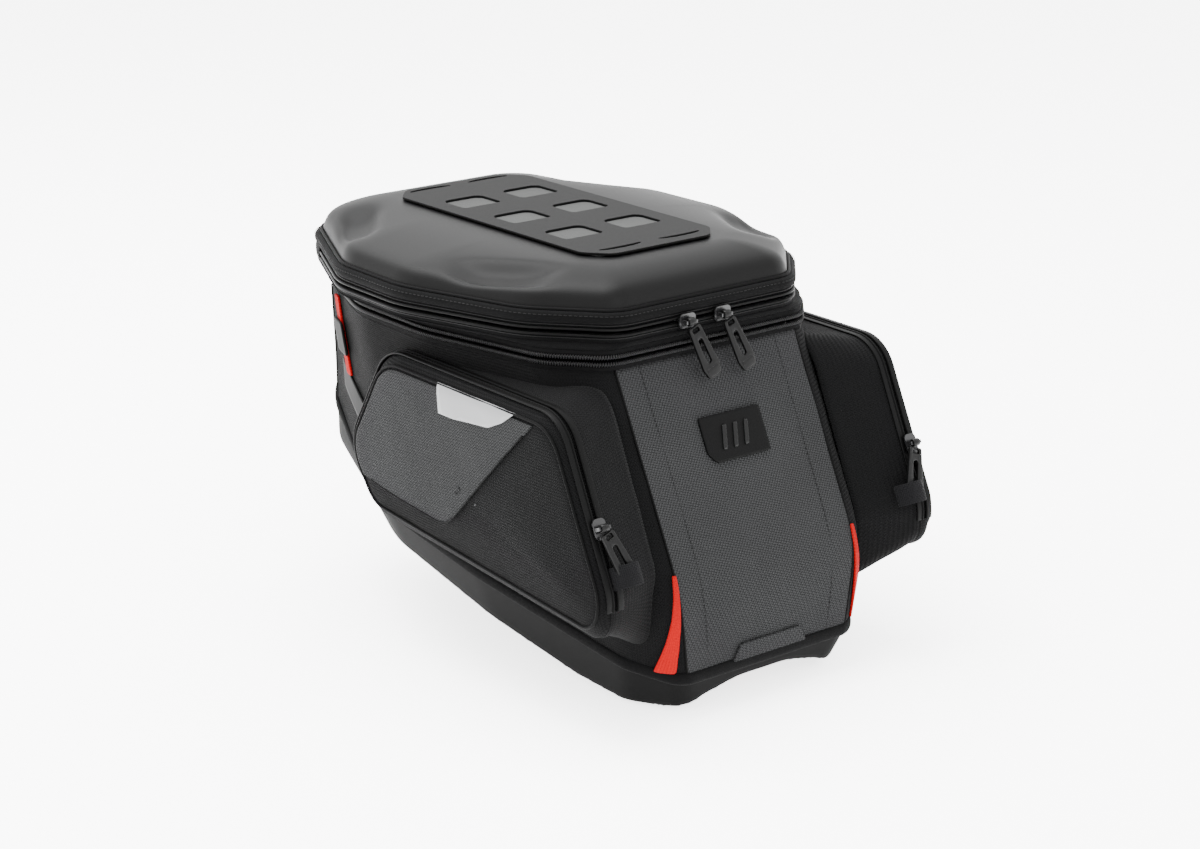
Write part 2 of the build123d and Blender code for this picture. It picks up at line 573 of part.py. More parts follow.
backing = RectangleRounded(backing_width, backing_length, LASH_CORNER - BACKING_MARGIN)
keep("lash_backing", Pos(0, lash_middle, LASH_Z) * extrude(backing, BACKING_THICK))


# ---------------------------------------------------------------- side pockets
def pocket_section(vertices, x, d):
    return Plane.YZ.offset(x) * rounded_face(grown(vertices, d))


def pocket_hull(d):
    """A right-hand pocket as a solid, moved out by d."""
    root = pocket_section(POCKET_ROOT, POCKET_ROOT_X, d)
    rims = [pocket_section(POCKET_RIM, x, d) for x in POCKET_BAND]
    face = pocket_section(POCKET_FACE, POCKET_FACE_X + d, d)
    outer = loft([rims[1], face], ruled=True)
    return loft([root, rims[0]], ruled=True) + loft(rims, ruled=True) + outer


def slab_x(x_low, x_high):
    return block((x_low, -FAR, -FAR), (x_high, FAR, FAR))


body_clear = body_hull(POCKET_GAP)
pocket_outer = pocket_hull(0)
pocket_inner = pocket_hull(-POCKET_WALL)
pocket_shell = pocket_outer - pocket_inner
fixed_edge = POCKET_CHAIN_X - CHAIN_GAP / 2
flap_edge = POCKET_CHAIN_X + CHAIN_GAP / 2
gusset = (pocket_shell & slab_x(POCKET_ROOT_X + POCKET_TRIM, fixed_edge)) - body_clear
gusset = over_seam(gusset, BINDING_HEIGHT / 2 + POCKET_GAP)
pocket_flap = pocket_shell & slab_x(flap_edge, FAR)

rim_low = POCKET_RIM[0][:2]
rim_front = POCKET_RIM[-1][:2]
pocket_slope = math.degrees(math.atan2(rim_front[1] - rim_low[1], rim_front[0] - rim_low[0]))
chain_from = above(sloped_plane(*rim_low, pocket_slope), POCKET_CHAIN_FROM)
coil_layer = (pocket_hull(COIL_THICK) - pocket_outer) & chain_from
fixed_coil = (coil_layer & slab_x(fixed_edge - COIL_HEIGHT, fixed_edge)) - body_clear
flap_coil = coil_layer & slab_x(flap_edge, flap_edge + COIL_HEIGHT)

low_end, high_end = Vector(*POCKET_RIM[1][:2]), Vector(*POCKET_RIM[2][:2])
climb = (high_end - low_end).normalized()
slider_y = low_end.X + climb.X / climb.Y * (POCKET_SLIDER_Z - low_end.Y)
POCKET_SPOT = Plane(
    origin=(POCKET_CHAIN_X, slider_y, POCKET_SLIDER_Z),
    x_dir=(0, climb.X, climb.Y), z_dir=(0, -climb.Y, climb.X))
pocket_slider = POCKET_SPOT * slider(POCKET_WALL, bar_turn=90)
pocket_pull = POCKET_SPOT * Rot(0, 0, -90) * pull(-PULL_LEAN, POCKET_PULL_TILT)

garage_length = GARAGE_SPAN[1] - GARAGE_SPAN[0]
garage_width = GARAGE_X[1] - GARAGE_X[0]
garage_middle = (GARAGE_HEIGHT - GARAGE_LEG) / 2
garage = Pos(0, 0, garage_middle) * Box(garage_length, garage_width, GARAGE_HEIGHT + GARAGE_LEG)
garage -= Pos(0, 0, garage_middle - GARAGE_THICK) * Box(
    2 * garage_length, garage_width - 2 * GARAGE_THICK, GARAGE_HEIGHT + GARAGE_LEG)
garage_at = Pos(-sum(GARAGE_SPAN) / 2, POCKET_CHAIN_X - sum(GARAGE_X) / 2, 0)
garage = POCKET_SPOT * garage_at * garage - pocket_hull(GARAGE_GAP)

patch_area = side_view([(-FAR, FAR), *MESH_PATCH_EDGE, (FAR, MESH_PATCH_EDGE[-1][1]), (FAR, FAR)], 0, FAR)
patch_face = Plane.YZ.offset(POCKET_FACE_X) * rounded_face(grown(POCKET_FACE, -PATCH_INSET))
mesh_patch = extrude(patch_face, MESH_PATCH_THICK, dir=(1, 0, 0)) & patch_area
reflector_x = POCKET_FACE_X + MESH_PATCH_THICK
reflector = side_view(REFLECTOR, reflector_x, reflector_x + REFLECTOR_THICK)

pocket_pieces = {
    "pocket_gusset": gusset, "pocket_flap": pocket_flap, "pocket_zip_inner": fixed_coil,
    "pocket_zip_outer": flap_coil, "pocket_slider": pocket_slider, "pocket_pull": pocket_pull,
    "pocket_garage": garage, "pocket_mesh_patch": mesh_patch, "pocket_reflector": reflector,
}
for name, shape in pocket_pieces.items():
    keep(f"{name}_right", shape)
    keep(f"{name}_left", mirror_x(shape))

# ---------------------------------------------------------------- webbing, badge and handle
webbing_layer = skin(SEWN_GAP, SEWN_GAP + LOOP_THICK)
rear_area = block((REAR_LOOP_X, -FAR, REAR_LOOP_Z[0]), (REAR_LOOP_X + LOOP_WIDTH, 0, REAR_LOOP_Z[1]))
rear_loop = webbing_layer & rear_area
rear_loop = over_seam(rear_loop, BINDING_HEIGHT / 2 + PANEL_GAP) - pocket_hull(PANEL_GAP)
(loop_front_y, loop_front_z), (loop_back_y, loop_back_z) = FRONT_LOOP
loop_low = loop_front_z - FRONT_LOOP_RISE
front_area = side_view(
    [(loop_front_y, loop_back_z), (loop_front_y + LOOP_WIDTH, loop_back_z),
     (loop_back_y + LOOP_WIDTH, loop_low), (loop_back_y, loop_low)], SMALL_PIECE_X, FAR)
front_loop = webbing_layer & front_area
strip = skin(SEWN_GAP, SEWN_GAP + SIDE_STRIP_THICK) & side_view(SIDE_STRIP, SMALL_PIECE_X, FAR)
strip = over_seam(strip, BINDING_HEIGHT / 2 + PANEL_GAP) - front_loop - pocket_hull(COIL_THICK + POCKET_GAP)
for name, shape in {"rear_loops": rear_loop, "front_loops": front_loop, "side_strips": strip}.items():
    keep(name, Compound(children=[*shape.solids(), *mirror_x(shape).solids()]))

badge_half = BADGE[0] / 2
badge_low, badge_high = BADGE_CENTRE_Z - BADGE[1] / 2, BADGE_CENTRE_Z + BADGE[1] / 2
badge_area = front_view(
    [(-badge_half, badge_high), (badge_half, badge_high), (badge_half, badge_low),
     (BADGE_CORNER - badge_half, badge_low), (-badge_half, badge_low + BADGE_CORNER)], -FAR / 2, RIDER_Y)
keep("badge", skin(BADGE_GAP, BADGE_GAP + BADGE_THICK) & badge_area)

handle_y = FRONT_Y + HANDLE_GAP + HANDLE_KNUCKLE_R
handle = Pos(0, handle_y, HANDLE_Z - HANDLE_DROP) * Box(2 * HANDLE_ARM_X, HANDLE_THICK, HANDLE_WIDTH)
mounts = []
for side in (-1, 1):
    arm_at = Pos(side * HANDLE_ARM_X, handle_y, HANDLE_Z)
    handle += arm_at * Pos(0, 0, -HANDLE_DROP / 2) * Box(HANDLE_ARM, HANDLE_THICK, HANDLE_DROP)
    handle += arm_at * Rot(0, 90, 0) * Cylinder(HANDLE_KNUCKLE_R, HANDLE_ARM)
    pin = arm_at * Rot(0, 90, 0) * Cylinder(HANDLE_PIN_R, HANDLE_ARM + 2 * HANDLE_LUG)
    for lug_side in (-1, 1):
        lug_x = side * HANDLE_ARM_X + lug_side * (HANDLE_ARM / 2 + HANDLE_LUG_GAP + HANDLE_LUG / 2)
        lug_low = (lug_x - HANDLE_LUG / 2, FRONT_Y + HANDLE_LUG_BACK, HANDLE_Z - HANDLE_KNUCKLE_R)
        lug_high = (lug_x + HANDLE_LUG / 2, handle_y + HANDLE_KNUCKLE_R, HANDLE_Z + HANDLE_KNUCKLE_R)
        pin += block(lug_low, lug_high)
    mounts += pin.solids()
    handle -= arm_at * Rot(0, 90, 0) * Cylinder(HANDLE_PIN_R + HANDLE_PIN_CLEAR, 3 * HANDLE_ARM)
keep("carry_handle", handle)
keep("handle_mounts", Compound(children=mounts))

# ---------------------------------------------------------------- files
os.makedirs("parts", exist_ok=True)
for name, shape in nodes.items():
    shape.label = name
    export_step(shape, f"parts/{name}.step")
    print(name, len(shape.solids()), round(shape.volume))
print(len(nodes), "nodes")
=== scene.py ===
# %% [markdown]
# # A motorcycle tank bag
# The bag is a sewn fabric body on a moulded belly pan, with a hard lid, two side pockets and an
# expansion zipper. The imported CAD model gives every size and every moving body. This lesson builds
# the look round it: cloth that puffs, a pressed foam lid, zippers, webbing, rubber and lacquer.
# Everything is worked out in millimetres, in the CAD model's own frame, and scaled on the way out.

# %% Load the frame
import json
import math

import bmesh
import bpy
import numpy as np
from mathutils import Matrix, Vector, noise
from mathutils.bvhtree import BVHTree

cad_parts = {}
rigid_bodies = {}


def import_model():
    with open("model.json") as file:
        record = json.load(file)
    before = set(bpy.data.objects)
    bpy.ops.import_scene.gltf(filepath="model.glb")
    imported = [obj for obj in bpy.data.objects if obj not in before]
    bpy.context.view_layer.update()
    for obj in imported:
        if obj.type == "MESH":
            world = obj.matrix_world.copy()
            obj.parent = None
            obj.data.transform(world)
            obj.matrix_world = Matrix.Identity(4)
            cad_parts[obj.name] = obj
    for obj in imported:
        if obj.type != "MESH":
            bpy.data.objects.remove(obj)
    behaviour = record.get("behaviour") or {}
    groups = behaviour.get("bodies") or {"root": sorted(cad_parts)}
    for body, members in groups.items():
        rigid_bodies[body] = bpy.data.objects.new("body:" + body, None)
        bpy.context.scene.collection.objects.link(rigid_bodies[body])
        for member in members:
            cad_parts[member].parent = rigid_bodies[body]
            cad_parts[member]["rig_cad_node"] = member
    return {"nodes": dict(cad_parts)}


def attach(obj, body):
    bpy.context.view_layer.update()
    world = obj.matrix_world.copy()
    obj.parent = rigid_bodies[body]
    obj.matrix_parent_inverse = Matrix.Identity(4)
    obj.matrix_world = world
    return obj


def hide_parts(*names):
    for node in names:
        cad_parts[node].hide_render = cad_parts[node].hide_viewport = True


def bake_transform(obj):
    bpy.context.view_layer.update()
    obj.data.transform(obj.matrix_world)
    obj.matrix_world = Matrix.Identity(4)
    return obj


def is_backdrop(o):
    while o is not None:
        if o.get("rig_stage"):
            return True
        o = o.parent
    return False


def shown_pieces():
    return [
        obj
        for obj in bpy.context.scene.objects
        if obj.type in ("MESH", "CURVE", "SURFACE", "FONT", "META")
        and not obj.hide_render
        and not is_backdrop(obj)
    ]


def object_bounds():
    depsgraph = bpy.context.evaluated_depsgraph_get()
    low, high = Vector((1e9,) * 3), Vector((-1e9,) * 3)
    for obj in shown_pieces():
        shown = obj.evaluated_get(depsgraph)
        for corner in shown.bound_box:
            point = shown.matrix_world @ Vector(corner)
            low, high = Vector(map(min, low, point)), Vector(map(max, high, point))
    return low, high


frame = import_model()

MM = 0.001
cad_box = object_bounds()
scene = bpy.context.scene
print("CAD box, mm:", [[round(v / MM) for v in corner] for corner in cad_box])

# %% [markdown]
# ## Camera
# The camera comes first, because it settles what is seen. A long lens from about 1.8 m keeps the
# perspective gentle, as in a catalogue, and looks down a little onto the lid.

# %% Camera
CAMERA_AT = (-1.0958, -1.3444, 0.6596)
CAMERA_AIM = (0.0, 0.0155, 0.0972)

camera = bpy.data.objects.new("camera", bpy.data.cameras.new("camera"))
scene.collection.objects.link(camera)
camera.data.sensor_width = 36.0
camera.data.lens = 82.56
camera.location = CAMERA_AT
camera.rotation_euler = (Vector(CAMERA_AIM) - Vector(CAMERA_AT)).to_track_quat("-Z", "Y").to_euler()
camera.data.clip_start = 0.05
scene.camera = camera
print("camera lens", camera.data.lens)

# %% [markdown]
# ## Studio
# Black cloth only shows its shape through the light that it reflects. One broad lamp above lays a
# soft sheen on the lid, a weaker one from the rider's side lifts the weave, and a pale world fills
# the rest. The floor is a wide pale sheet just under the lowest point of the bag.

# %% Studio floor, lamps and world
def shader(name, **values):
    """A new material with its main shader, and these values set on the shader's own sockets."""
    material = bpy.data.materials.new(name)
    material.use_nodes = True
    bsdf = material.node_tree.nodes["Principled BSDF"]
    for key, value in values.items():
        bsdf.inputs[key.replace("_", " ")].default_value = value
    return material, material.node_tree, bsdf


def area_lamp(name, place, size, watts, aim=CAMERA_AIM):
    lamp = bpy.data.objects.new(name, bpy.data.lights.new(name, "AREA"))
    lamp.data.shape = "RECTANGLE"
    lamp.data.size, lamp.data.size_y = size
    lamp.data.energy = watts
    lamp.location = place
    lamp.rotation_euler = (Vector(aim) - Vector(place)).to_track_quat("-Z", "Y").to_euler()
    scene.collection.objects.link(lamp)


FLOOR_GAP = 0.001
floor_mesh = bpy.data.meshes.new("studio_floor")
reach, floor_z = 40.0, cad_box[0].z - FLOOR_GAP
floor_corners = [(-reach, -reach, floor_z), (reach, -reach, floor_z), (reach, reach, floor_z),
                 (-reach, reach, floor_z)]
floor_mesh.from_pydata(floor_corners, [], [(0, 1, 2, 3)])
studio_floor = bpy.data.objects.new("studio_floor", floor_mesh)
scene.collection.objects.link(studio_floor)
studio_floor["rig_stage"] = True
paper, tree, bsdf = shader("floor_paper", Base_Color=(0.93, 0.93, 0.93, 1), Roughness=0.9,
                           Specular_IOR_Level=0.1,
                           Emission_Color=(1, 1, 1, 1), Emission_Strength=2.7)
mottle = tree.nodes.new("ShaderNodeTexNoise")
mottle.inputs["Scale"].default_value = 3.0
ramp = tree.nodes.new("ShaderNodeValToRGB")
ramp.color_ramp.elements[0].color = (0.92, 0.92, 0.92, 1)
ramp.color_ramp.elements[1].color = (0.95, 0.95, 0.95, 1)
tree.links.new(mottle.outputs["Fac"], ramp.inputs["Fac"])
tree.links.new(ramp.outputs["Color"], bsdf.inputs["Base Color"])
floor_mesh.materials.append(paper)

area_lamp("top_softbox", (-0.3, 0.5, 1.9), (1.6, 1.6), 160)
area_lamp("rider_softbox", (-0.2, -2.0, 1.2), (1.4, 1.0), 24)
area_lamp("side_softbox", (-2.2, 0.3, 1.0), (1.2, 1.0), 9)
world = bpy.data.worlds.new("studio")
scene.world = world
world.use_nodes = True
world.node_tree.nodes["Background"].inputs["Color"].default_value = (1, 1, 1, 1)
world.node_tree.nodes["Background"].inputs["Strength"].default_value = 4.2
print("floor at", round(floor_z, 4))

# %% [markdown]
# ## Cloth, rubber and lacquer
# A woven cloth is bumps of two threads that take turns on top. Each thread is a half sine, and a
# checker of thread crossings says which one is up. The weave follows a map in real millimetres that
# each cloth piece carries, so its pitch is the same everywhere. Slow noise adds the small changes of
# tone that make black cloth look like cloth.

# %% Weave material
CLOTH_MAP = "cloth_mm"


def math_node(tree, operation, a, b=None):
    node = tree.nodes.new("ShaderNodeMath")
    node.operation = operation
    for socket, value in zip(node.inputs, (a, b)):
        if isinstance(value, (int, float)):
            socket.default_value = value
        elif value is not None:
            tree.links.new(value, socket)
    return node.outputs[0]


def mix_colour(tree, factor, low, high):
    node = tree.nodes.new("ShaderNodeMix")
    node.data_type = "RGBA"
    tree.links.new(factor, node.inputs[0])
    for socket, value in ((node.inputs[6], low), (node.inputs[7], high)):
        if isinstance(value, tuple):
            socket.default_value = (*value, 1)
        else:
            tree.links.new(value, socket)
    return node.outputs[2]


def slow_noise(tree, per_metre, detail=3.0):
    place = tree.nodes.new("ShaderNodeTexCoord")
    node = tree.nodes.new("ShaderNodeTexNoise")
    node.inputs["Scale"].default_value = per_metre
    node.inputs["Detail"].default_value = detail
    tree.links.new(place.outputs["Object"], node.inputs["Vector"])
    return node.outputs["Fac"]


def bump(tree, bsdf, height, depth, strength=1.0):
    node = tree.nodes.new("ShaderNodeBump")
    node.inputs["Distance"].default_value = depth
    node.inputs["Strength"].default_value = strength
    tree.links.new(height, node.inputs["Height"])
    tree.links.new(node.outputs["Normal"], bsdf.inputs["Normal"])


print("shader helpers work in", CLOTH_MAP, "for cloth")

# %% Woven cloth
def weave(name, dark, light, pitch, relief, turn=0.0, rough=0.8, sheen=0.01, stretch=1.0):
    """Woven cloth: thread pitch and relief in millimetres, turn in degrees."""
    material, tree, bsdf = shader(name, Roughness=rough, Sheen_Weight=sheen, Sheen_Roughness=0.5,
                                  Specular_IOR_Level=0.03)
    cloth = tree.nodes.new("ShaderNodeUVMap")
    cloth.uv_map = CLOTH_MAP
    turned = tree.nodes.new("ShaderNodeMapping")
    turned.inputs["Rotation"].default_value[2] = math.radians(turn)
    turned.inputs["Scale"].default_value = (1 / pitch, 1 / (pitch * stretch), 1)
    tree.links.new(cloth.outputs[0], turned.inputs["Vector"])
    axes = tree.nodes.new("ShaderNodeSeparateXYZ")
    tree.links.new(turned.outputs[0], axes.inputs[0])
    across, along = axes.outputs[0], axes.outputs[1]
    crossing = math_node(tree, "ADD", math_node(tree, "FLOOR", across), math_node(tree, "FLOOR", along))
    up = math_node(tree, "PINGPONG", crossing, 1.0)
    warp = math_node(tree, "SINE", math_node(tree, "MULTIPLY", math_node(tree, "FRACT", across), math.pi))
    weft = math_node(tree, "SINE", math_node(tree, "MULTIPLY", math_node(tree, "FRACT", along), math.pi))
    chosen = tree.nodes.new("ShaderNodeMix")
    tree.links.new(up, chosen.inputs["Factor"])
    tree.links.new(warp, chosen.inputs["A"])
    tree.links.new(weft, chosen.inputs["B"])
    thread = math_node(tree, "POWER", chosen.outputs[0], 0.8)
    # Painted shade: the colour follows the thread height, dark in the dips between threads and light on the
    # thread tops.
    tone = mix_colour(tree, thread, dark, light)
    worn = mix_colour(tree, slow_noise(tree, 14.0), tuple(0.82 * c for c in dark),
                      tuple(1.25 * c for c in light))
    both = tree.nodes.new("ShaderNodeMix")
    both.data_type = "RGBA"
    both.inputs[0].default_value = 0.22
    tree.links.new(tone, both.inputs[6])
    tree.links.new(worn, both.inputs[7])
    tree.links.new(both.outputs[2], bsdf.inputs["Base Color"])
    bump(tree, bsdf, thread, relief * MM)
    return material


print("weave: threads cross at the pitch given in mm")

# %% Fine grain
def grain(name, dark, light, per_metre, relief, rough, specular=0.5, coat=0.0, metal=0.0, sheen=0.0):
    """Moulded, cut or cast surface: fine grain, slow patches of tone and a rough patch here and there."""
    material, tree, bsdf = shader(name, Specular_IOR_Level=specular, Coat_Weight=coat, Metallic=metal,
                                  Coat_Roughness=0.25, Sheen_Weight=sheen)
    fine = slow_noise(tree, per_metre, 4.0)
    patch = slow_noise(tree, 25.0)
    tree.links.new(mix_colour(tree, patch, dark, light), bsdf.inputs["Base Color"])
    spread = tree.nodes.new("ShaderNodeMapRange")
    spread.inputs["To Min"].default_value = rough * 0.85
    spread.inputs["To Max"].default_value = min(1.0, rough * 1.15)
    tree.links.new(fine, spread.inputs["Value"])
    tree.links.new(spread.outputs[0], bsdf.inputs["Roughness"])
    bump(tree, bsdf, fine, relief * MM, 0.6)
    return material


# %% The finishes of this bag
black_cloth = weave("black_cloth", (0.0002, 0.0002, 0.0002), (0.0018, 0.0018, 0.0019), 1.3, 0.3, turn=45)
band_cloth = weave("band_cloth", (0.0003, 0.0003, 0.0003), (0.0014, 0.0014, 0.0015), 0.8, 0.12, turn=45)
coarse_cloth = weave("coarse_cloth", (0.0002, 0.0002, 0.0002), (0.018, 0.0183, 0.0188), 2.1, 0.7, turn=28,
                     stretch=0.7)
patch_cloth = weave("patch_cloth", (0.0002, 0.0002, 0.0002), (0.0175, 0.0178, 0.0182), 1.9, 0.6, turn=-38,
                    stretch=0.7)
inlay_cloth = weave("inlay_cloth", (0.013, 0.0133, 0.0132), (0.042, 0.043, 0.042), 1.3, 0.15, turn=30)
lining_cloth = weave("lining_cloth", (0.024, 0.024, 0.0252), (0.054, 0.054, 0.0564), 0.9, 0.06)
tape_cloth = weave("tape_cloth", (0.0003, 0.0003, 0.0003), (0.0016, 0.0016, 0.0017), 0.8, 0.1, turn=90)
red_webbing = weave("red_webbing", (0.12, 0.0003, 0.0006), (0.2, 0.0008, 0.0012), 1.1, 0.14, turn=90)
black_webbing = weave("black_webbing", (0.0009, 0.0009, 0.00102), (0.0039, 0.0039, 0.0042), 1.3, 0.25,
                      turn=90)
pressed_foam = grain("pressed_foam", (0.0009, 0.0009, 0.0009), (0.0012, 0.0012, 0.0012), 2600, 0.02, 0.48,
                     0.06)
pan_foam = grain("pan_foam", (0.0007, 0.0007, 0.0007), (0.001, 0.001, 0.001), 2200, 0.02, 0.6, 0.03)
sheet_rubber = grain("sheet_rubber", (0.0006, 0.0006, 0.0006), (0.0009, 0.0009, 0.0009), 3000, 0.02, 0.6,
                     0.045)
pull_rubber = grain("pull_rubber", (0.0008, 0.0008, 0.0008), (0.0013, 0.0013, 0.0013), 2500, 0.02, 0.4, 0.1)
tape_film = grain("tape_film", (0.0004, 0.0004, 0.0004), (0.0007, 0.0007, 0.0007), 1800, 0.02, 0.5, 0.05)
piping_cord = grain("piping_cord", (0.0004, 0.0004, 0.0004), (0.0007, 0.0007, 0.0007), 1500, 0.04, 0.65, 0.04)
lacquer = grain("slider_lacquer", (0.0048, 0.0048, 0.00504), (0.0084, 0.0084, 0.009), 900, 0.01, 0.3, 0.4,
                coat=0.2, metal=0.5)
coil_nylon = grain("coil_nylon", (0.0024, 0.0024, 0.00252), (0.0048, 0.0048, 0.00492), 900, 0.01, 0.35, 0.19)
plastic = grain("moulded_plastic", (0.0024, 0.0024, 0.00252), (0.0042, 0.0042, 0.00432), 1600, 0.02, 0.5,
                0.19)
zinc = grain("zinc_plating", (0.245, 0.245, 0.245), (0.315, 0.315, 0.315), 1200, 0.01, 0.3, 0.5, metal=1.0)
silver_film = grain("silver_film", (0.1224, 0.1238, 0.126), (0.1512, 0.1526, 0.1548), 2200, 0.03, 0.4, 0.4,
                    metal=0.3)
thread_black = grain("black_thread", (0.0012, 0.0012, 0.0012), (0.0026, 0.0026, 0.0026), 2000, 0.02, 0.55,
                     0.1)
print(len(bpy.data.materials), "materials")

# %% [markdown]
# ## Outlines
# Every level of the bag is a closed outline with rounded corners. Each is given by its corners only,
# for the right half, and mirrored. Sampling each corner and each side with a fixed number of points
# means that any two outlines can be joined point to point, so the seams of the panels run smoothly
# from the zipper down to the base.

# %% Outline tools
def mirrored(half):
    return half + [(-x, y, r) for x, y, r in reversed(half)]


def grown(corners, d):
    """Corners of a closed outline moved outwards by d."""
    points = np.array([c[:2] for c in corners], float)
    ahead = np.roll(points, -1, axis=0) - points
    ahead /= np.linalg.norm(ahead, axis=1)[:, None]
    following = np.roll(points, -1, axis=0)
    area = np.sum(points[:, 0] * following[:, 1] - following[:, 0] * points[:, 1])
    side = 1 if area > 0 else -1
    out_b = np.stack([ahead[:, 1], -ahead[:, 0]], 1) * side
    out_a = np.roll(out_b, 1, axis=0)
    shift = (out_a + out_b) / (1 + np.sum(out_a * out_b, axis=1))[:, None]
    return [(*(p + s * d), max(c[2] + d, 1.0)) for p, s, c in zip(points, shift, corners)]


def ring(corners, arc=8, side=10):
    """Points round a closed outline: arc+1 on each corner and side-1 between corners."""
    n = len(corners)
    arcs = []
    for i, (x, y, r) in enumerate(corners):
        p = np.array((x, y), float)
        a = np.array(corners[i - 1][:2], float) - p
        b = np.array(corners[(i + 1) % n][:2], float) - p
        a, b = a / np.linalg.norm(a), b / np.linalg.norm(b)
        half = math.acos(max(-1.0, min(1.0, float(a @ b)))) / 2
        if half > math.pi / 2 - 1e-3:
            half = math.pi / 2 - 1e-3
        centre = p + (a + b) / np.linalg.norm(a + b) * (r / math.sin(half))
        start, end = p + a * r / math.tan(half) - centre, p + b * r / math.tan(half) - centre
        turn = math.atan2(start[0] * end[1] - start[1] * end[0], float(start @ end))
        points = []
        for k in range(arc + 1):
            c, s = math.cos(turn * k / arc), math.sin(turn * k / arc)
            points.append(centre + (start[0] * c - start[1] * s, start[0] * s + start[1] * c))
        arcs.append(points)
    out = []
    for i, points in enumerate(arcs):
        out += points
        last, following = points[-1], arcs[(i + 1) % n][0]
        out += [last + (following - last) * k / side for k in range(1, side)]
    return np.array(out)


def outward(points, closed=True):
    """Unit normals in plan of a closed or open line of points, to its outer side."""
    flat = points[:, :2]
    if closed:
        along = np.roll(flat, -1, axis=0) - np.roll(flat, 1, axis=0)
    else:
        along = np.gradient(flat, axis=0)
    length = np.linalg.norm(along, axis=1)[:, None]
    along = along / np.maximum(length, 1e-9)
    return np.stack([along[:, 1], -along[:, 0]], 1)


def lifted(flat, z):
    """Points in plan given a height, the same for all or one each."""
    return np.column_stack([flat, np.broadcast_to(z, len(flat))])


TOP_OUTLINE = mirrored([(80, -92, 22), (108, -60, 34), (127, 36, 100), (125, 112, 80), (86, 214, 45)])
MID_OUTLINE = mirrored([(80, -156, 22), (104, -124, 35), (120, 20, 120), (122, 100, 80), (86, 214, 45)])
SEAM_OUTLINE = mirrored([(72, -154, 18), (92, -122, 30), (112, 4, 150), (119, 108, 80), (86, 214, 45)])
LID_OUTLINE = mirrored([(72, -92, 26), (113, -46, 60), (141, 44, 70), (139, 114, 60), (88, 222, 40)])
BODY_TOP, EXPANSION_Z = 174.0, 180.5
MAIN_Z, LID_SEAM, LASH_Z = 197.0, 209.0, 231.0
BASE_AT, BASE_SLOPE, BEND_Y, FRONT_SLOPE = (-4.545, 20.502), 12.5, 105.0, 28.0
MID_AT, MID_SLOPE = (-156.0, 43.0), 13.2


def base_height(y):
    """Height of the seam between the walls and the belly pan."""
    low = BASE_AT[1] + (y - BASE_AT[0]) * math.tan(math.radians(BASE_SLOPE))
    bend = BASE_AT[1] + (BEND_Y - BASE_AT[0]) * math.tan(math.radians(BASE_SLOPE))
    return np.maximum(low, bend + (y - BEND_Y) * math.tan(math.radians(FRONT_SLOPE)))


print("outline points:", len(ring(TOP_OUTLINE)))

# %% [markdown]
# ## Mesh tools
# Three small makers do most of the work. `grid_mesh` joins rows of points into a sheet and gives it
# a cloth map in millimetres. `sweep` runs a small outline along a line, for bands, piping and tapes.
# `puff` is the tailor: it holds the seams of a sheet and lets Blender's cloth swell it with a
# little pressure, so that padding shows between the seams.

# %% Mesh makers
def add_object(name, mesh, material=None):
    thing = bpy.data.objects.new(name, mesh)
    scene.collection.objects.link(thing)
    if material is not None:
        mesh.materials.append(material)
    for polygon in mesh.polygons:
        polygon.use_smooth = True
    return thing


def grid_mesh(name, rows, material, closed=True, cap=False):
    """A sheet through rows of points (mm), with its cloth map in mm."""
    rows = np.array(rows, float)
    count, width = rows.shape[:2]
    steps = np.linalg.norm(np.roll(rows, -1, axis=1) - rows, axis=2)
    u = np.concatenate([np.zeros((count, 1)), np.cumsum(steps, axis=1)], axis=1)
    rises = np.linalg.norm(np.diff(rows, axis=0), axis=2).mean(axis=1)
    v = np.concatenate([[0], np.cumsum(rises)])
    mean_u = u.mean(axis=0)
    faces, maps = [], []
    last = width if closed else width - 1
    for i in range(count - 1):
        for j in range(last):
            k = (j + 1) % width
            faces.append((i * width + j, i * width + k, (i + 1) * width + k, (i + 1) * width + j))
            maps += [(mean_u[j], v[i]), (mean_u[j + 1], v[i]), (mean_u[j + 1], v[i + 1]),
                     (mean_u[j], v[i + 1])]
    vertices = rows.reshape(-1, 3)
    if cap:
        centre = rows[-1].mean(axis=0)
        vertices = np.vstack([vertices, centre])
        base = (count - 1) * width
        for j in range(last):
            faces.append((base + j, base + (j + 1) % width, len(vertices) - 1))
            maps += [(mean_u[j], v[-1]), (mean_u[j + 1], v[-1]), (mean_u[j], v[-1] + 1)]
    mesh = bpy.data.meshes.new(name)
    mesh.from_pydata([tuple(p) for p in vertices * MM], [], faces)
    layer = mesh.uv_layers.new(name=CLOTH_MAP)
    layer.data.foreach_set("uv", np.array(maps, np.float32).ravel())
    mesh.validate()
    return add_object(name, mesh, material)


def sweep(name, path, out, profile, material, closed=True, up=None, closed_profile=True):
    """A profile of (outwards, upwards) offsets in mm, run along a path of points."""
    path, out = np.array(path, float), np.array(out, float)
    if out.shape[1] == 2:
        out = np.column_stack([out, np.zeros(len(out))])
    up = np.tile((0.0, 0.0, 1.0), (len(path), 1)) if up is None else np.array(up, float)
    lines = [path + out * a + up * b for a, b in profile]
    if closed_profile:
        lines.append(lines[0])
    rows = np.array(lines)
    thing = grid_mesh(name, rows, material, closed=closed)
    if closed_profile:
        merge(thing)
        if not closed:
            close_ends(thing)
    return thing


print("maker: grid_mesh turns rows of points into a sheet, sweep carries a profile along a line")

# %% Change a mesh in place
def edit(thing, action):
    shape = bmesh.new()
    shape.from_mesh(thing.data)
    action(shape)
    shape.to_mesh(thing.data)
    shape.free()
    thing.data.update()


def merge(thing, distance=0.01):
    edit(thing, lambda shape: bmesh.ops.remove_doubles(shape, verts=shape.verts, dist=distance * MM))


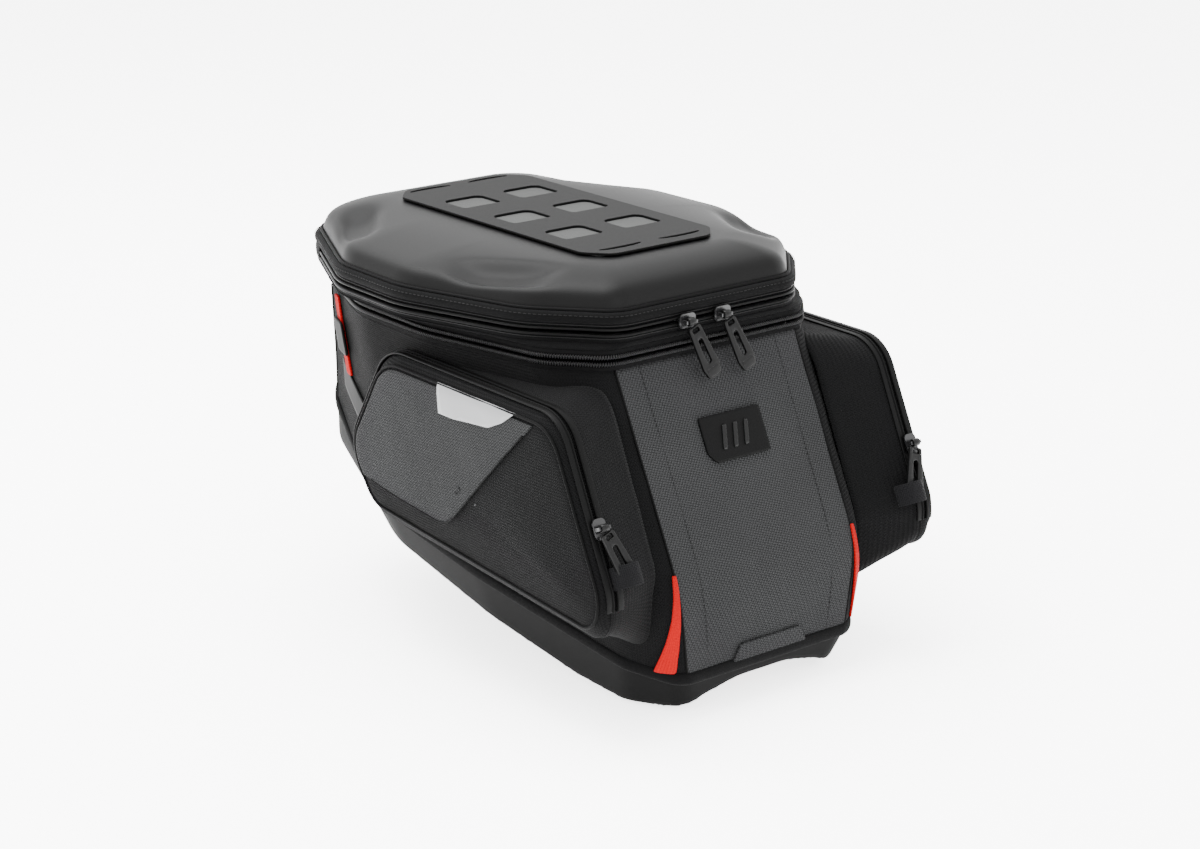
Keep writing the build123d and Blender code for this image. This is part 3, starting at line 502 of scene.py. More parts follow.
def close_ends(thing):
    def fill(shape):
        bmesh.ops.holes_fill(shape, edges=[e for e in shape.edges if e.is_boundary], sides=0)
        bmesh.ops.recalc_face_normals(shape, faces=shape.faces)
    edit(thing, fill)


def turn_out(thing, outwards, recalculate=True):
    """Turn a sheet's faces so that outwards(face), weighed by area, comes out positive."""
    if recalculate:
        edit(thing, lambda shape: bmesh.ops.recalc_face_normals(shape, faces=shape.faces))
    if sum(outwards(p) * p.area for p in thing.data.polygons) < 0:
        edit(thing, lambda shape: bmesh.ops.reverse_faces(shape, faces=shape.faces))


print("a sheet can be edited, merged, closed and turned")

# %% Profiles for sweeps
def rounded_profile(out_low, out_high, low, high, corner, steps=3):
    """A rectangle with rounded corners as a profile of (outwards, upwards) points."""
    points = []
    for a, b, start in ((out_high - corner, high - corner, 0), (out_low + corner, high - corner, 90),
                        (out_low + corner, low + corner, 180), (out_high - corner, low + corner, 270)):
        for k in range(steps + 1):
            angle = math.radians(start + 90 * k / steps)
            points.append((a + corner * math.cos(angle), b + corner * math.sin(angle)))
    return points


def cord_profile(radius, middle=(0.0, 0.0), sides=8):
    return [(middle[0] + radius * math.cos(2 * math.pi * k / sides),
             middle[1] + radius * math.sin(2 * math.pi * k / sides)) for k in range(sides)]


print("points in a profile:", len(cord_profile(1.0)), "cord,", len(rounded_profile(0, 2, 0, 2, 0.5)), "strip")

# %% Smooth and thicken
def bake_modifiers(thing):
    """Apply whatever modifiers a piece has."""
    graph = bpy.context.evaluated_depsgraph_get()
    made = bpy.data.meshes.new_from_object(thing.evaluated_get(graph))
    thing.modifiers.clear()
    thing.data = made
    for polygon in made.polygons:
        polygon.use_smooth = True


def subdivide(thing, levels=1):
    modifier = thing.modifiers.new("smooth", "SUBSURF")
    modifier.levels = modifier.render_levels = levels
    bake_modifiers(thing)


def thicken(thing, thickness, inside=None, offset=-1.0):
    """Give a sheet its real thickness, inwards. The inside can have its own finish."""
    modifier = thing.modifiers.new("thickness", "SOLIDIFY")
    modifier.thickness = thickness * MM
    modifier.offset = offset
    if inside is not None:
        thing.data.materials.append(inside)
        modifier.material_offset = 1
    bake_modifiers(thing)


print("smoothing and thickness are modifiers, applied at once")

# %% Swell and ruffle cloth
def coordinates(thing):
    points = np.zeros(len(thing.data.vertices) * 3)
    thing.data.vertices.foreach_get("co", points)
    return points.reshape(-1, 3) / MM


def place(thing, points):
    thing.data.vertices.foreach_set("co", (points * MM).ravel())
    thing.data.update()


def puff(thing, held, pressure, cap, frames=20):
    """Swell a sheet between its held points with cloth, moving no point further than about cap mm."""
    before = coordinates(thing)
    group = thing.vertex_groups.new(name="held")
    group.add([int(i) for i in held], 1.0, "REPLACE")
    cloth = thing.modifiers.new("cloth", "CLOTH")
    cloth.settings.use_pressure = True
    cloth.settings.uniform_pressure_force = pressure
    cloth.settings.vertex_group_mass = "held"
    cloth.settings.effector_weights.gravity = 0
    cloth.settings.tension_stiffness = 25
    cloth.settings.compression_stiffness = 25
    cloth.settings.bending_stiffness = 2.0
    cloth.settings.quality = 5
    cloth.collision_settings.use_collision = False
    cloth.point_cache.frame_end = frames
    for step in range(1, frames + 1):
        scene.frame_set(step)
    graph = bpy.context.evaluated_depsgraph_get()
    swollen = thing.evaluated_get(graph).data
    after = np.zeros(len(before) * 3)
    swollen.vertices.foreach_get("co", after)
    move = after.reshape(-1, 3) / MM - before
    size = np.linalg.norm(move, axis=1)
    share = cap * np.tanh(size / cap) / np.maximum(size, 1e-9)
    thing.modifiers.clear()
    thing.vertex_groups.clear()
    scene.frame_set(1)
    place(thing, before + move * share[:, None])
    print(thing.name, "puffed by up to", round(float((size * share).max()), 1), "mm")


def ruffle(thing, height, per_mm, seed, keep=None):
    """Small soft unevenness along the normals. keep(points) gives a share from 0 to 1."""
    points = coordinates(thing)
    normals = np.array([v.normal for v in thing.data.vertices])
    amount = np.array([noise.noise(Vector(p * per_mm) + Vector((seed, seed, seed))) for p in points])
    share = np.ones(len(points)) if keep is None else keep(points)
    place(thing, points + normals * (amount * share * height)[:, None])


print("cloth swells in", "full", "mode")

# %% Stitches
def stitches(name, path, up, material, pitch=3.4, length=2.2, radius=0.28):
    """A row of short raised stitches along a line. up is the surface's normal at each point."""
    path, up = np.array(path, float), np.array(up, float)
    along = np.concatenate([[0], np.cumsum(np.linalg.norm(np.diff(path, axis=0), axis=1))])
    vertices, faces = [], []
    ends = ((-0.5, 0.25), (-0.42, 1.0), (0.42, 1.0), (0.5, 0.25))
    for k in range(int(along[-1] / pitch)):
        at = (k + 0.5) * pitch
        point = np.array([np.interp(at, along, path[:, i]) for i in range(3)])
        further = np.array([np.interp(at + 0.5, along, path[:, i]) for i in range(3)])
        normal = np.array([np.interp(at, along, up[:, i]) for i in range(3)])
        run = (further - point) / max(np.linalg.norm(further - point), 1e-9)
        normal /= np.linalg.norm(normal)
        side = np.cross(run, normal)
        first = len(vertices)
        for share, size in ends:
            for s in range(5):
                angle = 2 * math.pi * s / 5
                vertices.append(point + run * length * share
                                + (side * math.cos(angle) + normal * math.sin(angle)) * radius * size)
        for i in range(3):
            for s in range(5):
                t = (s + 1) % 5
                faces.append((first + i * 5 + s, first + i * 5 + t, first + i * 5 + 5 + t,
                              first + i * 5 + 5 + s))
        faces.append(tuple(first + s for s in reversed(range(5))))
        faces.append(tuple(first + 15 + s for s in range(5)))
    mesh = bpy.data.meshes.new(name)
    mesh.from_pydata([tuple(p * MM) for p in vertices], [], faces)
    return add_object(name, mesh, material)


print("a stitch has four rings of five points")

# %% Fix a piece to its body
def finish_piece(thing, body, slot, *nodes):
    """Fix a piece to its body and hide the CAD nodes it stands for. Its slot is not used."""
    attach(thing, body)
    if nodes:
        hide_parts(*nodes)
    return thing


# %% [markdown]
# ## The sewn body
# On the real bag four padded panels are sewn together: the rider's panel in coarse cloth, two sides
# and a front, all closed at the bottom by the belly pan. Here they are lofted as one sheet from the
# top zipper through the widest level to the seam, puffed while the seams are held, and then cut
# along the seams, so that neighbouring panels still meet exactly.

# %% Loft and puff the body
UPPER_ROWS, LOWER_ROWS = 26, 9
SEAM_SEARCH, SMOOTHINGS = 30, 14
PANEL_PRESSURE, PANEL_SWELL, PANEL_THICK = 0.9, 4.0, 2.4
RIDER_SEAM_X, FRONT_SEAM_Y = 73.0, 186.0

top_ring = ring(TOP_OUTLINE)
mid_flat = ring(MID_OUTLINE)
mid_ring = lifted(mid_flat, MID_AT[1] + (mid_flat[:, 1] - MID_AT[0]) * math.tan(math.radians(MID_SLOPE)))
seam_flat = ring(SEAM_OUTLINE)
seam_ring = lifted(seam_flat, BASE_AT[1] + (seam_flat[:,
                                                      1] - BASE_AT[0]) * math.tan(math.radians(BASE_SLOPE)))
foot_ring = []
for start, end in zip(mid_ring, seam_ring):
    low, high = 0.0, 1.0
    for _ in range(SEAM_SEARCH):
        share = (low + high) / 2
        point = start + (end - start) * share
        if point[2] > base_height(point[1]):
            low = share
        else:
            high = share
    foot_ring.append(start + (end - start) * low)
foot_ring = np.array(foot_ring)
print("points in a row:", len(top_ring))

# %% Rows of the body sheet
first_ring = lifted(top_ring, BODY_TOP)
body_rows = [first_ring + (mid_ring - first_ring) * k / UPPER_ROWS for k in range(UPPER_ROWS)]
body_rows += [mid_ring + (foot_ring - mid_ring) * k / LOWER_ROWS for k in range(LOWER_ROWS + 1)]
body_rows = np.array(body_rows)
for _ in range(SMOOTHINGS):
    body_rows[1:-1] = (body_rows[:-2] + 2 * body_rows[1:-1] + body_rows[2:]) / 4
columns = body_rows.shape[1]
mid_now = body_rows[UPPER_ROWS]
rider_side = mid_now[:, 1] < -90
seam_right = int(np.argmin(np.where(rider_side, np.abs(mid_now[:, 0] - RIDER_SEAM_X), 1e9)))
seam_left = int(np.argmin(np.where(rider_side, np.abs(mid_now[:, 0] + RIDER_SEAM_X), 1e9)))
front_side = mid_now[:, 1] > 100
front_right = int(np.argmin(np.where(front_side & (mid_now[:, 0] > 0), np.abs(mid_now[:, 1] - FRONT_SEAM_Y),
                                     1e9)))
front_left = int(np.argmin(np.where(front_side & (mid_now[:, 0] < 0), np.abs(mid_now[:, 1] - FRONT_SEAM_Y),
                                    1e9)))
print("seam columns", seam_left, seam_right, front_right, front_left, "of", columns)

# %% Puff the body sheet
body_rows = body_rows[::-1]
body_sheet = grid_mesh("body_sheet", body_rows, black_cloth)
held = set(range(columns)) | set(range(len(body_rows) * columns - columns, len(body_rows) * columns))
for column in (seam_left, seam_right, front_left, front_right):
    held |= {row * columns + column for row in range(len(body_rows))}
puff(body_sheet, sorted(held), PANEL_PRESSURE, PANEL_SWELL)
body_points = coordinates(body_sheet).reshape(len(body_rows), columns, 3)
body_tree = BVHTree.FromObject(body_sheet, bpy.context.evaluated_depsgraph_get())
print("body sheet", len(body_sheet.data.vertices), "points")

# %% Cut the body into its panels
def column_range(first, last):
    """Column numbers from first to last, going round."""
    return [(first + k) % columns for k in range((last - first) % columns + 1)]


def body_panel(name, chosen, material, slot, node):
    panel = grid_mesh(name, body_points[:, chosen], material, closed=False)
    subdivide(panel)
    ruffle(panel, 0.7, 0.035, len(chosen))
    thicken(panel, PANEL_THICK, lining_cloth)
    finish_piece(panel, "root", slot, node)
    return panel


bpy.data.objects.remove(body_sheet)
body_panel("rider_panel_cloth", column_range(seam_left, seam_right), coarse_cloth, "grey_weave",
           "rider_panel")
body_panel("right_side_cloth", column_range(seam_right, front_right), black_cloth, "black_fabric",
           "side_panel_right")
body_panel("front_cloth", column_range(front_right, front_left), black_cloth, "black_fabric", "front_panel")
body_panel("left_side_cloth", column_range(front_left, seam_left), black_cloth, "black_fabric",
           "side_panel_left")

# %% [markdown]
# ## The lid
# The lid is a sheet of foam laminate, heated and pressed in a mould. It stands up in a short skirt
# at the seam, turns over a soft shoulder and climbs gently to the flat field under the lash panel.
# The mould also presses a scoop into each flank and each front corner, which stiffens the lid. A
# height rule along every line from the seam to the flat field gives this shape directly.

# %% Press the lid
SKIRT_RISE, SKIRT_REACH = 10.5, 2.6
FIELD_OUTLINE = mirrored([(44, -50, 6), (56, -40, 18), (58, 40, 60), (58, 110, 60), (48, 182, 14)])
# Each scoop: middle (x, y), half length, half width, turn of its long axis in degrees, depth.
SCOOPS = [((102, -14), 32, 13, 62, 7.0), ((99, 150), 28, 12, 128, 7.0)]


def scooped(points):
    """How far the scoops press the lid down at these points in plan."""
    drop = np.zeros(len(points))
    for (x, y), long_half, short_half, turn, depth in SCOOPS:
        for side in (1, -1):
            angle = math.radians(turn)
            dx, dy = points[:, 0] * side - x, points[:, 1] - y
            along = (dx * math.cos(angle) + dy * math.sin(angle)) / long_half
            across = (-dx * math.sin(angle) + dy * math.cos(angle)) / short_half
            drop += depth * np.exp(-(along ** 4 + across ** 4))
    return drop


lid_edge = ring(grown(LID_OUTLINE, -3.0))
field_edge = ring(FIELD_OUTLINE)
LID_ROWS = 26
lid_rows = []
for k in range(LID_ROWS + 1):
    share = (k / LID_ROWS) ** 1.5
    flat = lid_edge + (field_edge - lid_edge) * share
    reach = np.linalg.norm(flat - lid_edge, axis=1)
    skirt = SKIRT_RISE * (1 - np.exp(-reach / SKIRT_REACH))
    climb = (LASH_Z - LID_SEAM - SKIRT_RISE) * (1 - (1 - share) ** 2.0)
    z = LID_SEAM + skirt + climb - scooped(flat) * np.minimum(1, reach / 10)
    lid_rows.append(lifted(flat, z))
for shrink in (0.8, 0.55, 0.3, 0.1):
    middle = field_edge.mean(axis=0)
    lid_rows.append(lifted(middle + (field_edge - middle) * shrink, LASH_Z))
lid_rows.insert(0, lifted(lid_edge, LID_SEAM - 1.5))
lid = grid_mesh("pressed_lid", lid_rows, pressed_foam, cap=True)
subdivide(lid)
thicken(lid, 3.2, lining_cloth)
finish_piece(lid, "lid", "eva_shell", "lid_shell", "lid_liner")
print("lid height", round(max(v.co.z for v in lid.data.vertices) / MM, 1))

# %% [markdown]
# ## Bands, piping and the lash panel
# The lid is sewn to a fabric band with a cord of piping in the seam. The lash panel is a cut rubber
# sheet, glued and sewn on, with windows that show grey cloth and four slots for luggage straps.

# %% Lid band and piping
band_line = ring(LID_OUTLINE)
band_out = outward(band_line)
band_profile = [(-2.5, 203.6), (-0.2, 202.4), (1.4, 202.6), (2.5, 204.2), (2.4, 206.6), (1.0, 208.9),
                (-1.2, 209.8),
                (-4.0, 208.6)]
lid_band = sweep("lid_band_cloth", lifted(band_line, 0), band_out, band_profile, band_cloth)
subdivide(lid_band)
finish_piece(lid_band, "lid", "black_fabric", "lid_band")
piping = sweep("lid_seam_piping", lifted(ring(grown(LID_OUTLINE, -2.4)), LID_SEAM + 1.2), band_out,
               cord_profile(1.3), piping_cord)
subdivide(piping)
finish_piece(piping, "lid", "rubber_sheet", "lid_piping")
line = ring(grown(LID_OUTLINE, 2.2))
out_3d = np.column_stack([outward(line), np.zeros(len(line))])
round_trip = np.vstack([lifted(line, 207.6), lifted(line[:1], 207.6)])
seam_stitch = stitches("lid_band_stitches", round_trip, np.vstack([out_3d, out_3d[:1]]), thread_black, 3.2,
                       2.2, 0.22)
finish_piece(seam_stitch, "lid", "black_fabric")
print("stitches on the band:", len(seam_stitch.data.vertices) // 20)

# %% Lash panel and its grey cloth
def cut_sheet(name, outlines, thickness, edge, material):
    """A flat sheet with holes and a rounded edge, lying on z 0 to thickness, from outlines in mm."""
    curve = bpy.data.curves.new(name, "CURVE")
    curve.dimensions = "2D"
    curve.fill_mode = "BOTH"
    curve.extrude = (thickness / 2 - edge) * MM
    curve.bevel_depth = edge * MM
    curve.bevel_resolution = 2
    curve.offset = -edge * MM
    for outline in outlines:
        spline = curve.splines.new("POLY")
        spline.points.add(len(outline) - 1)
        for point, (x, y) in zip(spline.points, outline):
            point.co = (x * MM, y * MM, 0, 1)
        spline.use_cyclic_u = True
    blank = bpy.data.objects.new(name, curve)
    scene.collection.objects.link(blank)
    mesh = bpy.data.meshes.new_from_object(blank)
    bpy.data.objects.remove(blank)
    mesh.transform(Matrix.Translation((0, 0, thickness / 2 * MM)))
    layer = mesh.uv_layers.new(name=CLOTH_MAP)
    for loop in mesh.loops:
        co = mesh.vertices[loop.vertex_index].co
        layer.data[loop.index].uv = (co.x / MM, co.y / MM)
    sheet = add_object(name, mesh, material)
    merge(sheet, 0.02)
    for polygon in sheet.data.polygons:
        polygon.use_smooth = abs(polygon.normal.z) < 0.98
    return sheet


def rounded(corners):
    return ring(corners, 5, 1)


print("flat pieces are cut as curves, with their holes")

# %% Windows, strap slots and the cloth below
WINDOW, PITCH, WINDOW_MIDDLE_Y, SLOT_Y = (31.0, 26.0), (49.0, 55.0), 68.0, 104.0
holes = []
for x in (-PITCH[0] / 2, PITCH[0] / 2):
    for row in (-1, 0, 1):
        y, w, h = WINDOW_MIDDLE_Y + row * PITCH[1], WINDOW[0] / 2, WINDOW[1] / 2
        holes.append(rounded([(x - w, y - h, 3), (x + w, y - h, 3), (x + w, y + h, 6), (x - w, y + h, 6)]))
    for end in (-1, 1):
        y = WINDOW_MIDDLE_Y + end * SLOT_Y
        arc = [(x + 17 * math.cos(math.pi * k / 12),
                y + end * (3.5 * math.sin(math.pi * k / 12) - 1)) for k in range(13)]
        back = [(a, b - end * 3.4 * math.sin(math.pi * k / 12) ** 0.6) for k,
                (a, b) in enumerate(arc)][11:0:-1]
        holes.append(np.array(arc + back))
lash_outline = rounded([(-54, -32, 12), (-40, -48, 12), (40, -48, 12), (54, -32, 12), (54, 163, 12),
                        (40, 179, 12),
                        (-40, 179, 12), (-54, 163, 12)])
lash = cut_sheet("lash_panel_rubber", [lash_outline, *holes], 1.7, 0.4, sheet_rubber)
lash.data.transform(Matrix.Translation((0, 0, (LASH_Z + 0.8) * MM)))
finish_piece(lash, "lid", "rubber_sheet", "lash_panel")
inlay = cut_sheet("lash_inlay_cloth", [rounded([(-48, -42, 8), (48, -42, 8), (48, 173, 8), (-48, 173, 8)])],
                  0.8, 0.15, inlay_cloth)
inlay.data.transform(Matrix.Translation((0, 0, LASH_Z * MM)))
finish_piece(inlay, "lid", "lash_inlay", "lash_backing")
print("lash panel", len(lash.data.vertices), "points,", len(holes), "holes")

# %% [markdown]
# ## Zippers
# The lid's zipper is a reverse coil: the teeth face inwards and the outer face is two smooth tapes
# with a narrow groove. The expansion zipper shows its coil, a nylon wire wound into a flat spiral
# and sewn along the tape. The spiral here really is one, a few thousand small turns.

# %% Tapes and coils
def coil(name, line, out, radius, pitch, wire, material):
    """A wire wound round a closed line, with radius (outwards, upwards)."""
    around_line = np.vstack([line, line[:1]])
    out = np.vstack([out, out[:1]])
    along = np.concatenate([[0], np.cumsum(np.linalg.norm(np.diff(around_line, axis=0), axis=1))])
    turns = int(along[-1] / pitch)
    steps, sides = 7, 4
    count = turns * steps
    at = np.linspace(0, along[-1], count, endpoint=False)
    middle = np.column_stack([np.interp(at, along, around_line[:, i]) for i in range(3)])
    side = np.column_stack([np.interp(at, along, out[:, i]) for i in range(2)] + [np.zeros(count)])
    angle = 2 * math.pi * np.arange(count) / steps
    up = np.array((0.0, 0.0, 1.0))
    centre = middle + side * (radius[0] * np.cos(angle))[:, None] + up * (radius[1] * np.sin(angle))[:, None]
    ahead = np.roll(centre, -1, axis=0) - np.roll(centre, 1, axis=0)
    ahead /= np.linalg.norm(ahead, axis=1)[:, None]
    first = np.cross(ahead, up)
    first /= np.maximum(np.linalg.norm(first, axis=1)[:, None], 1e-6)
    second = np.cross(first, ahead)
    turns_round = [2 * math.pi * s / sides for s in range(sides)]
    vertices = np.stack([centre + (first * math.cos(t) + second * math.sin(t)) * wire for t in turns_round], 1)
    faces = [(i * sides + s, i * sides + (s + 1) % sides, ((i + 1) % count) * sides + (s + 1) % sides,
              ((i + 1) % count) * sides + s) for i in range(count) for s in range(sides)]
    mesh = bpy.data.meshes.new(name)
    mesh.from_pydata([tuple(p) for p in vertices.reshape(-1, 3) * MM], [], faces)
    return add_object(name, mesh, material)


def open_at_front(line, limit):
    """The points of a closed line that lie rider-side of limit, in order, as an open line."""
    behind = line[:, 1] < limit
    start = next(i for i in range(len(line)) if behind[i] and not behind[i - 1])
    picked = [(start + k) % len(line) for k in range(len(line)) if behind[(start + k) % len(line)]]
    return picked


print("a coil is one wire, wound a turn at a time")

# %% Main zipper
lid_flat = ring(LID_OUTLINE)
lid_out = outward(lid_flat)
zip_part = open_at_front(lid_flat, 188.0)
main_line, main_out = lifted(lid_flat, 0)[zip_part], lid_out[zip_part]
for name, body, node, low, high, lip in (("main_tape_lower", "collar", "main_zip_lower", 190.6, 196.0, 195.0),
                                         ("main_tape_upper", "lid", "main_zip_upper", 198.0, 203.4, 199.0)):
    profile = rounded_profile(-1.2, 0.0, low, high, 0.3)
    tape = sweep(name, main_line, main_out, profile, tape_cloth, closed=False)
    finish_piece(tape, body, "zipper_tape", node)
    film = sweep(name + "_lip", main_line, main_out, rounded_profile(-0.6, 1.9, lip - 1.0, lip + 1.0, 0.9),
                 tape_film, closed=False)
    finish_piece(film, body, "zipper_tape")
    ridge_profile = cord_profile(0.45, (0.1, 193.0 if body == "collar" else 201.2))
    turns = sweep(name + "_ridge", main_line, main_out, ridge_profile, thread_black, closed=False)
    finish_piece(turns, body, "zipper_tape")

print("main zipper:", len(zip_part), "of", len(lid_flat), "points of the rim")

# %% Expansion zipper and the band above it
top_flat = ring(TOP_OUTLINE)
top_out = outward(top_flat)
for name, body, node, low, high, coil_z in (
        ("expansion_tape_lower", "root", "expansion_zip_lower", 174.0, 179.2, 178.3),
        ("expansion_tape_upper", "collar", "expansion_zip_upper", 181.8, 187.0, 182.7)):
    tape = sweep(name, lifted(top_flat, 0), top_out, rounded_profile(-1.2, 0.1, low, high, 0.3), tape_cloth)
    finish_piece(tape, body, "zipper_tape", node)
    wire = coil(name + "_coil", lifted(top_flat + top_out, coil_z), top_out, (1.0, 1.1), 1.7, 0.42,
                coil_nylon)
    finish_piece(wire, body, "zipper_tape")
fold_inner, fold_outer = ring(grown(TOP_OUTLINE, -10.2)), ring(TOP_OUTLINE)
fold_rows = [lifted(fold_inner, 188.6), lifted(fold_inner, 187.2), lifted(fold_outer, 186.9),
             lifted(fold_outer + top_out * 1.2, 187.6)]
fold_rows += [lifted(lid_flat + lid_out * 1.3, 189.6), lifted(lid_flat + lid_out * 0.8, 190.7),
              lifted(lid_flat - lid_out * 1.5, 190.9), lifted(fold_inner, 190.4)]
fold_rows.append(fold_rows[0])
fold = grid_mesh("expander_band_cloth", fold_rows, band_cloth)
merge(fold)
subdivide(fold)
finish_piece(fold, "collar", "black_fabric", "expander_band")
print("band", len(fold.data.vertices), "points")

# %% Sliders and pulls
def softened(node, width, material, segments=2):
    """Keep a CAD node and round its edges a little, without touching its mesh."""
    thing = frame["nodes"][node]
    thing.data.materials.clear()
    thing.data.materials.append(material)
    bevel = thing.modifiers.new("edge", "BEVEL")
    bevel.width = width * MM
    bevel.segments = segments
    bevel.limit_method = "ANGLE"
    bevel.angle_limit = math.radians(40)
    return thing


for node in ("main_slider_left", "main_slider_right", "expansion_slider", "pocket_slider_left",
             "pocket_slider_right"):
    softened(node, 0.35, lacquer)

print("sliders are the CAD nodes, with softened edges")

# %% Moulded pulls
KNUCKLE_R, KNUCKLE_HALF, BAR_OUT = 2.6, 2.7, 7.55


def moulded_pull(name, frame_matrix, lean, tilt):
    """A moulded rubber pull: an eye round the slider's bar, a slotted blade and a thick spatula tip."""
    blade = rounded([(-4.9, -3.4, 1.6), (-7.0, -31, 3), (-5.2, -38.4, 2.8), (5.2, -38.4, 2.8), (7.0, -31, 3),
                     (4.9, -3.4, 1.6)][::-1])
    slot = rounded([(-2.0, -12, 1.9), (-2.0, -29, 1.9), (2.0, -29, 1.9), (2.0, -12, 1.9)])
    eye_slot = rounded([(-2.9, -4.6, 1.0), (-2.9, -7.6, 1.0), (2.9, -7.6, 1.0), (2.9, -4.6, 1.0)])
    sheet = cut_sheet(name, [blade, slot, eye_slot], 2.6, 0.7, pull_rubber)
    sheet.data.transform(Matrix.Translation((0, 0, -1.3 * MM)))
    tip = cut_sheet(name + "_tip", [rounded([(-6.1, -31.5, 2), (-4.6, -37.4, 2.4), (4.6, -37.4, 2.4),
                                             (6.1, -31.5, 2)][::-1])], 3.4, 0.9, pull_rubber)
    tip.data.transform(Matrix.Translation((0, 0, -1.5 * MM)))
    turn = Matrix.Rotation(math.radians(lean), 4, "Z")
    sheet.data.transform(turn)
    tip.data.transform(turn)
    angles = [2 * math.pi * k / 20 for k in range(20)]
    rows = []
    for r, x in ((1.45, -KNUCKLE_HALF), (2.3, -KNUCKLE_HALF), (KNUCKLE_R, -KNUCKLE_HALF + 0.4),
                 (KNUCKLE_R, KNUCKLE_HALF - 0.4), (2.3, KNUCKLE_HALF), (1.45, KNUCKLE_HALF),
                 (1.45, -KNUCKLE_HALF)):
        rows.append([(x, r * math.cos(a), r * math.sin(a)) for a in angles])
    eye = grid_mesh(name + "_eye", rows, pull_rubber)
    merge(eye)
    for other in (tip, eye):
        join(sheet, other)
    matrix = frame_matrix @ Matrix.Translation((0, 0,
                                                BAR_OUT * MM)) @ Matrix.Rotation(math.radians(-tilt), 4, "X")
    sheet.data.transform(matrix)
    return sheet


def join(thing, other):
    shape = bmesh.new()
    shape.from_mesh(thing.data)
    shape.from_mesh(other.data)
    shape.to_mesh(thing.data)
    shape.free()
    bpy.data.objects.remove(other)
    for polygon in thing.data.polygons:
        polygon.use_smooth = True


def axes_matrix(origin, x_axis, z_axis):
    x, z = Vector(x_axis).normalized(), Vector(z_axis).normalized()
    y = z.cross(x)
    matrix = Matrix((x, y, z)).transposed().to_4x4()
    matrix.translation = Vector(origin) * MM
    return matrix


PULL_LEAN, PULL_TILT = 18.0, 16.0
MAIN_SLIDERS, MAIN_SLIDER_Y, EXPANSION_SLIDER = (("left", -20.0), ("right", 9.0)), -92.0, (24.0, 214.0)
for side, x in MAIN_SLIDERS:
    spot = axes_matrix((x, MAIN_SLIDER_Y, MAIN_Z), (1, 0, 0), (0, -1, 0))
    pull = moulded_pull(f"main_pull_{side}_rubber", spot, PULL_LEAN, PULL_TILT)
    finish_piece(pull, f"main_pull_{side}", "pull_rubber", f"main_pull_{side}")
spot = axes_matrix((*EXPANSION_SLIDER, EXPANSION_Z), (-1, 0, 0), (0, 1, 0))
pull = moulded_pull("expansion_pull_rubber", spot, 0, 0)
finish_piece(pull, "expansion_pull", "pull_rubber", "expansion_pull")

# %% [markdown]
# ## Side pockets
# A side pocket is a padded tray on a gusset, with its zipper on the wall between them. The tray's
# face is crowned by its foam, and half of it is covered by a patch of coarse cloth with a strip of
# silver film. The left pocket is the mirror image of the right one.

# %% Pocket outlines, in side view as (y, z, corner radius)
FACE = [(-154, 36, 14), (-156, 60, 26), (-111, 154, 26), (64, 156, 30), (104, 90, 26), (78, 56, 22)]
RIM = [(-159, 28, 16), (-160, 60, 28), (-113, 161, 28), (66, 163, 32), (111, 90, 28), (82, 48, 24)]
ROOT = [(-138, 4, 16), (-144, 58, 28), (-96, 166, 28), (68, 170, 32), (116, 94, 28), (88, 32, 24)]
CHAIN_X, ROOT_X, WALL_X, GAP = 130.0, 84.0, 124.0, 1.1
CROWN, POCKET_PUFF = 3.0, 3.0
PATCH_EDGE = [(-97, 154), (-17.9, 74), (-12.7, 69.7), (-7, 66.8), (-0.8, 65.4), (5.9, 65.3), (96, 74)]
REFLECTOR = [(-77, 155), (-66, 147), (-53, 141), (-18, 138), (-2, 138), (4, 157)]
FOLD_HEIGHT = 22.0


def side_ring(corners, x):
    """A side view outline as points (x, y, z)."""
    flat = ring(corners, 8, 12)[::-1]
    return np.column_stack([np.full(len(flat), x), flat])


def in_body(point):
    """True if a point in mm lies inside the body."""
    nearest, normal, _, _ = body_tree.find_nearest(Vector(point) * MM)
    return (Vector(point) * MM - nearest).dot(normal) < 0


print("pocket stands out", CHAIN_X - ROOT_X, "mm from its root to the zipper")

# %% Cut, copy and mirror a sheet
def half_planes(polygon):
    """(point, outward normal) in side view for each side of a convex outline, or of an open edge."""
    sides = []
    for a, b in zip(polygon, polygon[1:]):
        run = np.array(b, float) - np.array(a, float)
        sides.append((a, (run[1], -run[0])))
    return sides


def cut_away(thing, sides):
    """Remove what lies beyond each (point, outward normal) given in side view."""
    def cut(shape):
        for (y, z), (ny, nz) in sides:
            geometry = shape.verts[:] + shape.edges[:] + shape.faces[:]
            bmesh.ops.bisect_plane(shape, geom=geometry, plane_co=(0, y * MM, z * MM), plane_no=(0, ny, nz),
                                   clear_outer=True)
    edit(thing, cut)


def drop_faces_below(thing, x):
    """Delete the faces whose middle lies nearer to the bag than x, in metres."""
    edit(thing, lambda shape: bmesh.ops.delete(
        shape, geom=[f for f in shape.faces if f.calc_center_median().x < x], context="FACES"))


def copied(thing, name, material):
    other = bpy.data.objects.new(name, thing.data.copy())
    scene.collection.objects.link(other)
    other.data.materials.clear()
    other.data.materials.append(material)
    return other


def raised(thing, gap):
    """Move a sheet off the surface it lies on."""
    points = coordinates(thing)
    normals = np.array([v.normal for v in thing.data.vertices])
    place(thing, points + normals * gap)


def mirror_piece(thing, name):
    """The same piece on the other side of the bag."""
    other = bpy.data.objects.new(name, thing.data.copy())
    scene.collection.objects.link(other)

    def flip(shape):
        for vertex in shape.verts:
            vertex.co.x = -vertex.co.x
        bmesh.ops.reverse_faces(shape, faces=shape.faces)
    edit(other, flip)
    return other


print("a trimmed copy of a sheet fits the sheet it lies on")

